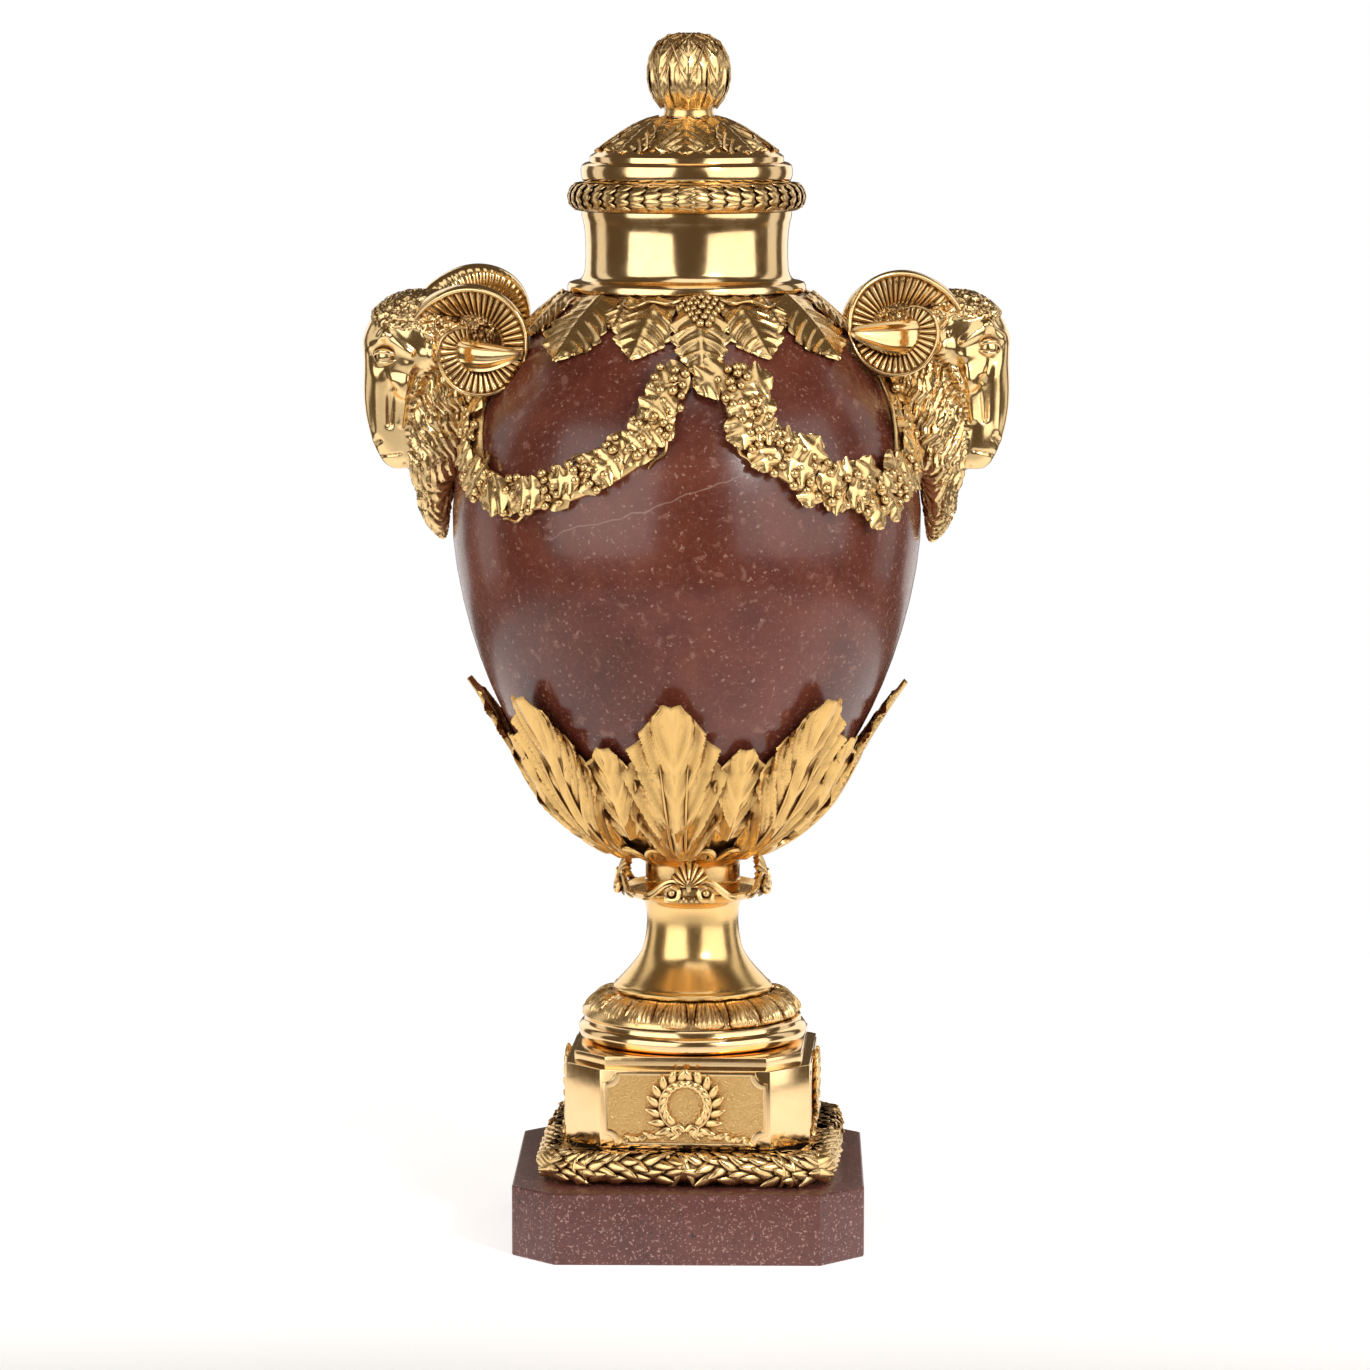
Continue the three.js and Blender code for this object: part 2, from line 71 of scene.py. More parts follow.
def graded(tree, factor, *stops):
    """A colour ramp of (position, colour) stops. A plain number stands for a grey."""
    ramp = put(tree, "ValToRGB")
    tree.links.new(factor, ramp.inputs["Fac"])
    elements = ramp.color_ramp.elements
    while len(elements) < len(stops):
        elements.new(0.5)
    for element, (position, colour) in zip(elements, stops):
        element.position = position
        grey = isinstance(colour, (int, float))
        element.color = (colour, colour, colour, 1) if grey else (*colour, 1)
    return ramp.outputs["Color"]


def mixed(tree, factor, first, second, blend="MIX"):
    """Mixes two colours, each an output or a plain colour."""
    mix = put(tree, "Mix", data_type="RGBA", blend_type=blend)
    for socket, value in ((mix.inputs[0], factor), (mix.inputs[6], first), (mix.inputs[7], second)):
        if isinstance(value, bpy.types.NodeSocket):
            tree.links.new(value, socket)
        elif isinstance(value, tuple):
            socket.default_value = (*value, 1)
        else:
            socket.default_value = value
    return mix.outputs[2]


def sum_of(tree, operation, first, second):
    node = put(tree, "Math", operation=operation)
    for socket, value in zip(node.inputs, (first, second)):
        if isinstance(value, bpy.types.NodeSocket):
            tree.links.new(value, socket)
        else:
            socket.default_value = value
    return node.outputs[0]


def noisy(tree, place, scale, detail=4, rough=0.55, distortion=0.0):
    node = put(tree, "TexNoise", Scale=scale, Detail=detail, Roughness=rough, Distortion=distortion)
    tree.links.new(place, node.inputs["Vector"])
    return node.outputs["Fac"]


def bumped(tree, shader, height, depth, strength=1.0):
    bump = put(tree, "Bump", Strength=strength, Distance=depth)
    tree.links.new(height, bump.inputs["Height"])
    tree.links.new(bump.outputs["Normal"], shader.inputs["Normal"])


def honed_marble():
    """Dark red stone, crowded with pinkish specks, with small dark pits."""
    material, tree, shader, place = new_material("honed_red_marble")
    cloud = noisy(tree, place, 26, 5, 0.6)
    ground = graded(tree, cloud, (0.3, (0.07, 0.016, 0.012)), (0.52, (0.105, 0.025, 0.019)),
                    (0.75, (0.15, 0.04, 0.03)))
    grain = noisy(tree, place, 420, 3, 0.7)
    ground = mixed(tree, graded(tree, grain, (0.4, 0.0), (0.75, 0.45)), ground, (0.16, 0.06, 0.05))
    fleck = noisy(tree, place, 800, 2, 0.5)
    ground = mixed(tree, graded(tree, fleck, (0.6, 0.0), (0.66, 0.75)), ground, (0.42, 0.23, 0.19))
    big = noisy(tree, place, 380, 2, 0.4)
    ground = mixed(tree, graded(tree, big, (0.69, 0.0), (0.73, 0.6)), ground, (0.52, 0.36, 0.32))
    pit = noisy(tree, place, 300, 2, 0.4, 0.6)
    hole = graded(tree, pit, (0.27, 1.0), (0.31, 0.0))
    ground = mixed(tree, hole, ground, (0.03, 0.012, 0.01))
    tree.links.new(ground, shader.inputs["Base Color"])
    tree.links.new(graded(tree, grain, (0.3, 0.33), (0.7, 0.5)), shader.inputs["Roughness"])
    shader.inputs["Coat Weight"].default_value = 0.25
    shader.inputs["Coat Roughness"].default_value = 0.3
    bumped(tree, shader, sum_of(tree, "SUBTRACT", grain, hole), 0.00018, 0.5)
    return material


def install(bm, name, material, slot, *nodes, sharp=38):
    """Closes and shades a finished mesh, in millimetres, and puts it in place of its CAD nodes."""
    bmesh.ops.scale(bm, vec=(MM, MM, MM), verts=bm.verts)
    bmesh.ops.remove_doubles(bm, verts=bm.verts, dist=0.004 * MM)
    bmesh.ops.recalc_face_normals(bm, faces=bm.faces)
    limit = math.radians(sharp)
    for face in bm.faces:
        face.smooth = True
    for edge in bm.edges:
        edge.smooth = edge.calc_face_angle(0) < limit
    mesh = bpy.data.meshes.new(name)
    bm.to_mesh(mesh)
    bm.free()
    mesh.materials.append(material)
    piece = bpy.data.objects.new(name, mesh)
    bpy.context.scene.collection.objects.link(piece)
    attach(piece, "root")
    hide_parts(*nodes)
    return piece


def cut_slab(bm, width, corner, low, high, arris, shift):
    """A square slab with its four upright corners cut off and its arrises eased."""
    middle = Matrix.Translation((shift, 0, (low + high) / 2))
    sizes = Matrix.Diagonal((width, width, high - low, 1))
    made = bmesh.ops.create_cube(bm, size=1, matrix=middle @ sizes)["verts"]
    edges = {edge for vert in made for edge in vert.link_edges}
    upright = [edge for edge in edges if abs(edge.verts[0].co.z - edge.verts[1].co.z) > 1]
    cut = bmesh.ops.bevel(bm, geom=upright, offset=corner, offset_type="OFFSET", affect="EDGES",
                          segments=1, profile=0.5, material=-1)
    edges = {edge for vert in cut["verts"] for edge in vert.link_edges}
    bmesh.ops.bevel(bm, geom=list(edges), offset=arris, offset_type="OFFSET", affect="EDGES",
                    segments=3, profile=0.5, material=-1)


slab = bmesh.new()
cut_slab(slab, PLINTH["width"], PLINTH["corner"], 0, PLINTH["height"], PLINTH["arris"], PLINTH_SHIFT)
install(slab, "plinth_slab", honed_marble(), "plinth_marble", "marble_plinth", sharp=30)

# Laurel moulding: a cast roll of laurel leaves and berries on a rounded square, tied with crossed
# ribbons at the middle of each side and with pairs of bands near the corners. Gilt bronze.
FOOT_SHIFT = 3
PEDESTAL_TURN = -2.5
LAUREL = {"half": 71, "squareness": 8, "middle": 43.8, "across": 8.6, "up": 8.3}


def around(turn, radius, height):
    """A point at a turn in degrees round the urn's axis, from the front towards +X."""
    angle = math.radians(turn)
    return Vector((radius * math.sin(angle), -radius * math.cos(angle), height))


def gilding(name, rough, painted_shade_amount, bright=(0.94, 0.66, 0.31), hollow=(0.16, 0.06, 0.018), reach=0.0024, grain=0.5,
            punch=0.0):
    """Fire-gilt bronze: bright on what stands out, with painted shade, a brown laid in by ambient occlusion, in
    what lies deep.
    """
    material, tree, shader, place = new_material(name)
    # Painted shade: ambient occlusion in creases and recesses, mottled by a cloud, turns the gold to the hollow
    # colour and rougher.
    shade = put(tree, "AmbientOcclusion", samples=6, only_local=True, Distance=reach)
    shadow = shade.outputs["AO"]
    cloud = noisy(tree, place, 45, 5, 0.6)
    fine = noisy(tree, place, 900, 3, 0.6)
    shade_mottle = sum_of(tree, "MULTIPLY_ADD", cloud, 0.35)
    shade_mottle.node.inputs[2].default_value = -0.17
    openness_and_mottle = sum_of(tree, "ADD", shadow, shade_mottle)
    metal = mixed(tree, graded(tree, cloud, (0.35, 0.0), (0.7, 1.0)), bright,
                  (bright[0] * 0.93, bright[1] * 0.9, bright[2] * 0.82))
    # The amount after rough sets how far the painted shade spreads: the higher, the further.
    low, high = 0.62 - 0.42 * (1 - painted_shade_amount), 0.98 - 0.2 * (1 - painted_shade_amount)
    unshaded = graded(tree, openness_and_mottle, (low, 0.0), (high, 1.0))
    tree.links.new(mixed(tree, unshaded, hollow, metal), shader.inputs["Base Color"])
    shader.inputs["Metallic"].default_value = 1.0
    rubbed = graded(tree, fine, (0.3, rough * 0.85), (0.7, rough * 1.25))
    tree.links.new(mixed(tree, unshaded, (0.55, 0.55, 0.55), rubbed), shader.inputs["Roughness"])
    if punch:
        bumped(tree, shader, noisy(tree, place, 850, 2, 0.5), punch, 1.0)
    else:
        bumped(tree, shader, fine, 0.00004, grain)
    return material


def sheet(bm, columns, rows, place):
    """A grid of faces laid by place(across, along), both from 0 to 1."""
    made = bmesh.ops.create_grid(bm, x_segments=columns, y_segments=rows, size=0.5)["verts"]
    for vert in made:
        vert.co = place(vert.co.x + 0.5, vert.co.y + 0.5)
    return made


def smoothly(low, high, value):
    """Goes from 0 at low to 1 at high without a kink."""
    t = min(1, max(0, (value - low) / (high - low)))
    return t * t * (3 - 2 * t)


SCRAP = bpy.data.meshes.new("scrap")


def joined(bm, small):
    """Adds a small finished mesh to a large one, and clears it away."""
    small.to_mesh(SCRAP)
    small.free()
    bm.from_mesh(SCRAP)


def seed(bm, middle, ahead, out, length, width, rise, sides=8, rings=6):
    """A small laurel leaf with a mid rib, or a berry where its sizes are equal."""
    ahead, out = ahead.normalized(), out.normalized()
    beside = out.cross(ahead).normalized()
    small = bmesh.new()
    made = bmesh.ops.create_uvsphere(small, u_segments=sides, v_segments=rings, radius=1)["verts"]
    leafy = length > 1.3 * width
    for vert in made:
        along, side, up = vert.co.z, vert.co.x, vert.co.y
        if leafy:
            side *= max(0, 1 - abs(along)) ** 0.15 * (1.0 - 0.25 * along)
            up = abs(up) * (0.62 + 0.38 * abs(side)) if up > 0 else up * 0.4
        vert.co = middle + ahead * (along * length / 2) + beside * (side * width / 2) + out * (up * rise)
    joined(bm, small)


def blended(points, share):
    """A smooth curve through a list of tuples, read at a share of its way."""
    spot = min(max(share, 0), 1) * (len(points) - 1)
    i = min(int(spot), len(points) - 2)
    t = spot - i
    before, start = points[max(i - 1, 0)], points[i]
    end, after = points[i + 1], points[min(i + 2, len(points) - 1)]
    return tuple(0.5 * (2 * b + (c - a) * t + (2 * a - 5 * b + 4 * c - d) * t * t
                        + (3 * b - a - 3 * c + d) * t ** 3)
                 for a, b, c, d in zip(before, start, end, after))


def rod(bm, points, radii, up=Vector((0, 0, 1)), sides=7, steps=None, flat=1.0):
    """A closed round bar through points, its radius following radii, ends drawn to a point."""
    steps = steps or 5 * (len(points) - 1)
    spots = [Vector(blended(points, i / steps)) for i in range(steps + 1)]

    def place(across, along):
        i = round(along * steps)
        ahead = (spots[min(i + 1, steps)] - spots[max(i - 1, 0)]).normalized()
        beside = ahead.cross(up).normalized()
        rise = beside.cross(ahead)
        end = 0 if i in (0, steps) else 1
        radius = end * blended([(r,) for r in radii], along)[0]
        angle = 2 * math.pi * across
        return spots[i] + beside * (radius * math.cos(angle)) + rise * (flat * radius * math.sin(angle))

    small = bmesh.new()
    sheet(small, sides, steps, place)
    joined(bm, small)


def on_foot(point):
    """From the pedestal's own square to its place on the plinth."""
    turned_foot = Matrix.Rotation(math.radians(PEDESTAL_TURN), 4, "Z")
    return Matrix.Translation((FOOT_SHIFT, 0, 0)) @ turned_foot @ point


def laurel_reach(turn):
    cos, sin = abs(math.cos(math.radians(turn))), abs(math.sin(math.radians(turn)))
    power = LAUREL["squareness"]
    return LAUREL["half"] / (cos ** power + sin ** power) ** (1 / power)


def on_laurel(turn, around_roll, lift=0.0):
    """A point on the laurel roll: turn round the foot, and angle up round its section."""
    angle = math.radians(around_roll)
    out = (LAUREL["across"] + lift) * math.cos(angle) - LAUREL["across"] + 1.5
    return around(turn, laurel_reach(turn) + out, LAUREL["middle"] + (LAUREL["up"] + lift) * math.sin(angle))


laurel = bmesh.new()
sheet(laurel, 120, 14, lambda across, along: on_laurel(360 * across, 360 * along, -1.1))
chance = random.Random(5)
stations = []
turn = 0.0
while turn < 45:
    stations.append(turn)
    turn += math.degrees(5.3 / laurel_reach(turn)) * math.cos(math.radians(min(turn, 90 - turn))) ** 2 + 0.25
for side in range(4):
    for mirror in (1, -1):
        for number, turn in enumerate(stations):
            if turn < 4.5:
                continue
            stagger = number % 2
            for row in range(4):
                angle = -26 + 42 * row + 21 * stagger + chance.uniform(-6, 6)
                here = side * 90 + mirror * turn
                middle = on_laurel(here, angle, 0.3)
                veer = chance.uniform(-14, 14)
                tip = on_laurel(here - mirror * 3, angle + veer, 2.2)
                ahead = tip - on_laurel(here + mirror * 3, angle - veer, -1.4)
                out = middle - on_laurel(here, angle, -3)
                seed(laurel, middle, ahead, out, chance.uniform(13, 16), 5.6, 1.9, 8, 8)
                if number % 3 == 1 and row in (1, 3):
                    spot = on_laurel(here + mirror * 2.2, angle + 12, 0.6)
                    seed(laurel, spot, ahead, out, 3.2, 3.2, 1.6, 7, 5)
    for start, end in ((-5.5, 5.5), (5.5, -5.5)):
        line = [on_laurel(side * 90 + start + (end - start) * i / 10, -60 + 18.5 * i, 1.3) for i in range(11)]
        rod(laurel, line, [1.7] * 3, up=around(side * 90, 1, 0.8).normalized(), flat=0.6)
    for band in (-37, -34.2, 34.2, 37):
        line = [on_laurel(side * 90 + band, -60 + 18.5 * i, 1.2) for i in range(11)]
        rod(laurel, line, [1.25] * 3, up=around(side * 90 + band, 1, 0.8).normalized(), flat=0.6)
for vert in laurel.verts:
    vert.co = on_foot(vert.co)
    vert.co.z = min(max(vert.co.z, 35.7), 52.5)
# Leaf gilding: 0.75 of painted shade in the creases between leaves and berries.
leaf_gilt = gilding("leaf_gilding", 0.24, 0.75)
install(laurel, "laurel_roll", leaf_gilt, "gilt_bronze", "laurel_moulding", sharp=60)

# Pedestal: a cast block with cut corners, filed flat and burnished, and the low step cast with it.
# Each side has a sunk, stippled panel in a raised border, and a laurel wreath standing in it.
PEDESTAL = {"half": 60.8, "corner": 18.7, "base": 52.8, "top": 92.3,
            "step": 56.5, "step_corner": 16.5, "crown": 98}
PANEL = {"width": 77, "height": 33.6, "notch": 6.5, "depth": 1.5, "middle": 72.9}
WREATH_MIDDLE = 74.7


def burnished():
    """The same gilding rubbed to a mirror, with faint clouds and hairlines."""
    material, tree, shader, place = new_material("burnished_gilding")
    cloud = noisy(tree, place, 38, 4, 0.6)
    gold = mixed(tree, graded(tree, cloud, (0.3, 0.0), (0.7, 1.0)), (0.97, 0.71, 0.39), (0.92, 0.63, 0.3))
    spot = noisy(tree, place, 700, 2, 0.5)
    speck = graded(tree, spot, (0.73, 0.0), (0.77, 1.0))
    tree.links.new(mixed(tree, speck, gold, (0.42, 0.27, 0.12)), shader.inputs["Base Color"])
    shader.inputs["Metallic"].default_value = 1.0
    smear = noisy(tree, place, 110, 5, 0.7)
    tree.links.new(graded(tree, smear, (0.3, 0.1), (0.75, 0.2)), shader.inputs["Roughness"])
    bumped(tree, shader, noisy(tree, place, 260, 3, 0.6), 0.00003, 0.6)
    return material


def panel_outline(width, height, notch, steps=6):
    """Corners of a panel whose four corners are cut away in quarter rounds, in order."""
    points = []
    for quarter in range(4):
        x = width / 2 * (1, 1, -1, -1)[quarter]
        z = height / 2 * (-1, 1, 1, -1)[quarter]
        first = (180, 270, 0, 90)[quarter]
        for i in range(steps + 1):
            angle = math.radians(first - 90 * i / steps)
            points.append((x + notch * math.cos(angle), z + notch * math.sin(angle)))
    return points


def on_face(face, across, out, height):
    """A point on one side of the pedestal, out millimetres from its axis."""
    return on_foot(Matrix.Rotation(math.radians(90 * face), 4, "Z") @ Vector((across, -out, height)))


block = bmesh.new()
for half, corner, low, high in (("half", "corner", PEDESTAL["base"], PEDESTAL["top"]),
                                ("step", "step_corner", PEDESTAL["top"] - 0.5, PEDESTAL["crown"])):
    cut_slab(block, 2 * PEDESTAL[half], PEDESTAL[corner], low, high, 0.7, 0)
for vert in block.verts:
    vert.co = on_foot(vert.co)
front = PEDESTAL["half"]
RIM = [(2.2, front - 0.4), (1.9, front + 0.45), (0.9, front + 0.7), (0, front + 0.45), (-0.1, front - 0.3)]


def raise_rim(face):
    """The raised fillet round a sunk panel: one closed section led round the panel's outline."""
    rings = []
    for grow, out in RIM + RIM[:1]:
        width, height = PANEL["width"] + 2 * grow, PANEL["height"] + 2 * grow
        outline = panel_outline(width, height, PANEL["notch"] - grow / 3)
        rings.append([on_face(face, x, out, PANEL["middle"] + z) for x, z in outline + outline[:1]])
    columns, rows = len(rings[0]) - 1, len(RIM)

    def place(across, along):
        return rings[round(along * rows)][round(across * columns)]

    fillet = bmesh.new()
    made = sheet(fillet, columns, rows, place)
    bmesh.ops.remove_doubles(fillet, verts=made, dist=0.0001)
    bmesh.ops.recalc_face_normals(fillet, faces=fillet.faces)
    joined(block, fillet)


for face in range(4):
    raise_rim(face)
mirror_gilt = burnished()
install(block, "pedestal_block", mirror_gilt, "gilt_bronze", "pedestal", sharp=25)

ground = bmesh.new()


def stippled(face):
    """The sunk ground of one panel, punched all over with a small round tool."""
    wide, high = PANEL["width"] / 2, PANEL["height"] / 2

    def place(across, along):
        x, z = (2 * across - 1) * wide, (2 * along - 1) * high
        corner = Vector((abs(x) - wide, abs(z) - high)).length
        if corner < PANEL["notch"]:
            pull = (PANEL["notch"] + 0.2 - corner) * 0.8
            x -= math.copysign(pull, x)
            z -= math.copysign(pull, z)
        dots = noise.noise(Vector((x * 0.75, z * 0.75, face * 9))) * 0.35
        return on_face(face, x, front + 0.12 + dots * 0.5, PANEL["middle"] + z)

    made = sheet(ground, 88, 38, place)
    faces = list({face for vert in made for face in vert.link_faces})
    bmesh.ops.solidify(ground, geom=faces, thickness=0.4)


for face in range(4):
    stippled(face)
# A weaker painted shade, 0.5, in the dips of the punched ground.
stippled_gilt = gilding("stippled_gilding", 0.33, 0.5, bright=(0.66, 0.42, 0.17), punch=0.0008)
install(ground, "pedestal_panels", stippled_gilt, "gilt_bronze", sharp=60)
wreaths = bmesh.new()


def wreath_on(face):
    """Two laurel branches tied at the bottom, round an open oval, with sprays that run out below."""
    facing = on_face(face, 0, 1, 0) - on_face(face, 0, 0, 0)
    for side in (1, -1):
        for i in range(8):
            angle = math.radians(-66 + 20 * i)
            rim = Vector((side * 12.6 * math.cos(angle), 12.6 * math.sin(angle)))
            ahead = Vector((-side * math.sin(angle), math.cos(angle)))
            away = Vector((side * math.cos(angle), math.sin(angle)))
            for spread, size, rise in ((0.8, 11.6 - 0.4 * i, 2.8), (-0.8, 9.4 - 0.35 * i, 2.6)):
                lean = (ahead + away * spread).normalized()
                middle = rim + lean * size * 0.42
                spot = on_face(face, middle.x, front + 1.2, WREATH_MIDDLE + middle.y)
                tip = on_face(face, middle.x + lean.x, front + 1.45, WREATH_MIDDLE + middle.y + lean.y)
                seed(wreaths, spot, tip - spot, facing, size, 4.6, rise, 10, 8)
        rib = [on_face(face, side * 12.6 * math.cos(math.radians(a)), front + 1.6,
                       WREATH_MIDDLE + 12.6 * math.sin(math.radians(a))) for a in range(-88, 82, 14)]
        rod(wreaths, rib, [0.9, 0.9, 0.6], up=facing)
        for i in range(7):
            spot = on_face(face, side * (4 + 4.4 * i), front + 1.1, 61.2 - 0.7 * i + 0.5 * (i % 2))
            tip = on_face(face, side * (8.4 + 4.4 * i), front + 1.5, 61.6 - 0.9 * i + (2.6 if i % 2 else -2.2))
            seed(wreaths, spot, tip - spot, facing, 9.5, 3.8, 2.6)
        bow = ((0, 61.5), (3, 64.5), (6, 63), (4, 60), (7.5, 57.5))
        tie = [on_face(face, side * x, front + 2.4, z) for x, z in bow]
        rod(wreaths, tie, [1.1, 1.3, 0.8], up=facing, flat=0.6)


for face in range(4):
    wreath_on(face)
install(wreaths, "pedestal_wreaths", leaf_gilt, "gilt_bronze", sharp=60)

# Round step and stem: bronze castings turned on the lathe and gilt. The step is burnished and the
# stem's trumpet is left satin. The rod through the urn holds them to the pedestal.
STEP = [(0, 98.3), (52.6, 98.3), (54.6, 98.9), (56.6, 100.4), (57.4, 102.6), (57.2, 104.8), (56, 106.4),
        (54.7, 107.1), (54.5, 107.5), (54.5, 109.7), (54.1, 110.3), (0, 110.3)]
STEM = [(39.5, 122.9), (39.8, 123.6), (39.8, 124.9), (39.3, 125.7), (38.2, 126.3), (37.5, 127.2),
        (36.4, 128.4), (33.4, 131.6), (30.2, 135.3), (27.6, 138.8), (25.5, 142.6), (24.1, 147.4), (23.2, 153.4),
        (22.9, 159), (23.3, 164.2), (24.4, 167.4), (26.4, 169.5)]


def satin():
    """Gilding left soft from the stoving: warm, cloudy and finely pitted."""
    # 0.6 of painted shade, in the hollow colour given here, in the recesses of the stem and the seat.
    return gilding("satin_gilding", 0.21, 0.6, bright=(0.93, 0.63, 0.27), hollow=(0.2, 0.09, 0.03), grain=0.8)


def turned(bm, profile, steps=128, shift=0.0, closed=False):
    """Spins a profile of (radius, height) round the urn's axis, moved shift to the right."""
    chain = [bm.verts.new((radius, 0, height)) for radius, height in profile]
    edges = [bm.edges.new(pair) for pair in zip(chain, chain[1:])]
    if closed:
        edges.append(bm.edges.new((chain[-1], chain[0])))
    bmesh.ops.spin(bm, geom=chain + edges, cent=(0, 0, 0), axis=(0, 0, 1), dvec=(0, 0, 0),
                   angle=2 * math.pi, steps=steps, use_merge=True, use_duplicate=False)
    if shift:
        bmesh.ops.translate(bm, vec=(shift, 0, 0), verts=bm.verts)


def smooth_through(points, each=4):
    """Points of a smooth curve through a turned profile."""
    count = each * (len(points) - 1)
    return [blended(points, i / count) for i in range(count + 1)]


ring = bmesh.new()
turned(ring, STEP, shift=FOOT_SHIFT)
install(ring, "round_step_ring", mirror_gilt, "gilt_bronze", "round_step", sharp=32)
trumpet = bmesh.new()
turned(trumpet, [(0, 122.9), *STEM[:4], *smooth_through(STEM[4:], 3), (0, 169.5)], shift=FOOT_SHIFT)
satin_gilt = satin()
install(trumpet, "stem_trumpet", satin_gilt, "satin_gilt", "stem", sharp=30)

# Leaf moulding: a swelling ring of gilt bronze under the stem, cast with eighteen ribbed water
# leaves that droop over it and the tips of eighteen more between them. Held by the rod.
WATER_LEAVES = 18


def water_leaf(turn, share):
    """Radius and height on the moulding: share runs from the bottom edge over the swell to the top."""
    swell = [(52.2, 110.7), (53.2, 112), (52.8, 114.2), (51.2, 116.6), (48.8, 118.9), (46, 120.7),
             (43.2, 121.8), (40.4, 122.3)]
    radius, height = blended(swell, share)
    place = turn * WATER_LEAVES / 360 % 1
    side = abs(2 * place - 1)
    half = 0.93 * (1 - 0.42 * share) * min(1, (share + 0.07) / 0.3) ** 0.5
    if side < half:
        across = side / half
        rib = math.exp(-(across / 0.16) ** 2)
        flute = 0.5 - 0.5 * math.cos(2 * math.pi * 3 * across ** 1.15)
        lift = 1.5 * (1 - across ** 3) + 0.9 * rib - 1.15 * flute * (1 - rib) - 0.2
    else:
        across = (1 - side) / (1 - half)
        lift = -2.6 + 1.4 * (1 - min(1, across * 1.2) ** 2) + 0.5 * math.cos(9 * across)
    fade = math.sin(math.pi * min(1, max(0, share * 0.96 + 0.04))) ** 0.35
    return radius + lift * fade * 0.8, height + lift * fade * 0.35


def drooping(across, along):
    """A point of the leafy skin, which closes under the swell in its last tenth."""
    if along > 0.9:
        return around(360 * across, 40, 110.7) + Vector((FOOT_SHIFT, 0, 0))
    return around(360 * across, *water_leaf(360 * across, along / 0.9)) + Vector((FOOT_SHIFT, 0, 0))


drip = bmesh.new()
sheet(drip, WATER_LEAVES * 40, 30, drooping)
turned(drip, [(0, 110.6), (52.6, 110.6), (52.6, 113), (40, 121.8), (0, 121.8)], 96)
for vert in drip.verts:
    vert.co.z = max(vert.co.z, 110.6)
install(drip, "water_leaf_ring", leaf_gilt, "gilt_bronze", "leaf_moulding", sharp=60)

# Shell collar: a low cup of cast and gilt bronze on top of the stem. Its rim rises into four
# scallop shells, each with curled volutes at its foot and a flat wing to either side.
SHELL_TURN = -2


def along_table(table, spot):
    """Straight-line reading of a table of (place, value) pairs."""
    for (a, first), (b, second) in zip(table, table[1:]):
        if spot <= b:
            return first + (second - first) * max(0, spot - a) / (b - a)
    return table[-1][1]


def on_collar(turn):
    """Where an ornament at this turn lies on the collar: across and height in millimetres."""
    def lay(across, height, lift):
        radius = 36 - 0.13 * (height - 169.8) + lift
        return around(turn + math.degrees(across / 36), radius, height) + Vector((FOOT_SHIFT, 0, 0))
    return lay


shells = bmesh.new()
turned(shells, [(0, 169.8), (27.5, 169.8), (30.5, 170.3), (33.6, 171.8), (35.4, 173.4), (36.2, 174.6),
                (35.4, 175.5), (34, 174.9), (32.6, 173.4), (30, 172.7), (0, 172.7)], 96, FOOT_SHIFT)
for quarter in range(4):
    lay = on_collar(SHELL_TURN + quarter * 90)
    facing = around(SHELL_TURN + quarter * 90, 1, 0)

    def fan(across, along):
        angle = math.radians(-98 + 196 * across)
        ridge = abs(math.sin(9 * math.pi * across))
        reach = along * (11.4 + 0.9 * ridge) * (0.9 + 0.1 * math.cos(angle))
        lift = 3.0 * (1 - along ** 2) + (1.3 * ridge ** 0.7 - 0.9) * along ** 0.6
        return lay(reach * math.sin(angle) * 0.9, 180 + reach * math.cos(angle), 0.4 + lift)

    small = bmesh.new()
    sheet(small, 90, 14, fan)
    bmesh.ops.remove_doubles(small, verts=small.verts, dist=0.01)
    bmesh.ops.recalc_face_normals(small, faces=small.faces)
    bmesh.ops.solidify(small, geom=small.faces[:], thickness=1.6)
    joined(shells, small)

    def back_plate(across, along):
        return lay((2 * across - 1) * (13 - 5 * along), 173.2 + 8.5 * along, 0.2)

    small = bmesh.new()
    sheet(small, 24, 8, back_plate)
    bmesh.ops.solidify(small, geom=small.faces[:], thickness=1.8)
    joined(shells, small)
    seed(shells, lay(0, 180.6, 3.2), Vector((0, 0, 1)), facing, 7.5, 3.4, 1.8)
    for side in (1, -1):
        spiral = ((0, 5.4), (-1.2, 6), (-2.4, 6.2), (-3.6, 5.8), (-4.8, 5), (-6, 4), (-7.2, 3), (-8.6, 1.5))
        volute = [lay(side * (8.2 + 0.6 * r * math.sin(a)), 176.8 + 0.6 * r * math.cos(a), 2.2 + 0.2 * r)
                  for a, r in spiral]
        rod(shells, [lay(side * 3.6, 179.6, 2.4), *volute], [1.0, 1.2, 1.2, 1.1, 1.0, 0.9], up=facing, steps=44)
        seed(shells, lay(side * 8.2, 176.8, 2.2), Vector((0, 0, 1)), facing, 4.6, 4.6, 2.6, 12, 8)
        sweep = ((4.8, 180.4), (8, 182.4), (12.4, 181.2), (16.4, 178), (20.4, 175.2), (25, 174.2))
        for drop, thick in ((0, 1.25), (-1.9, 0.9)):
            wing = [lay(side * x, z + drop, 1.4) for x, z in sweep]
            rod(shells, wing, [1.0, thick, thick * 1.1, thick, 0.6], up=facing)
        for i in range(4):
            spot = lay(side * (2 + 2.3 * i), 173.4 - 0.2 * (i % 2), 1.2)
            seed(shells, spot, Vector((side * 0.6, 0, 0.5)), facing, 3.6, 2.2, 1.2)
install(shells, "shell_collar_cup", leaf_gilt, "gilt_bronze", "shell_collar", sharp=50)

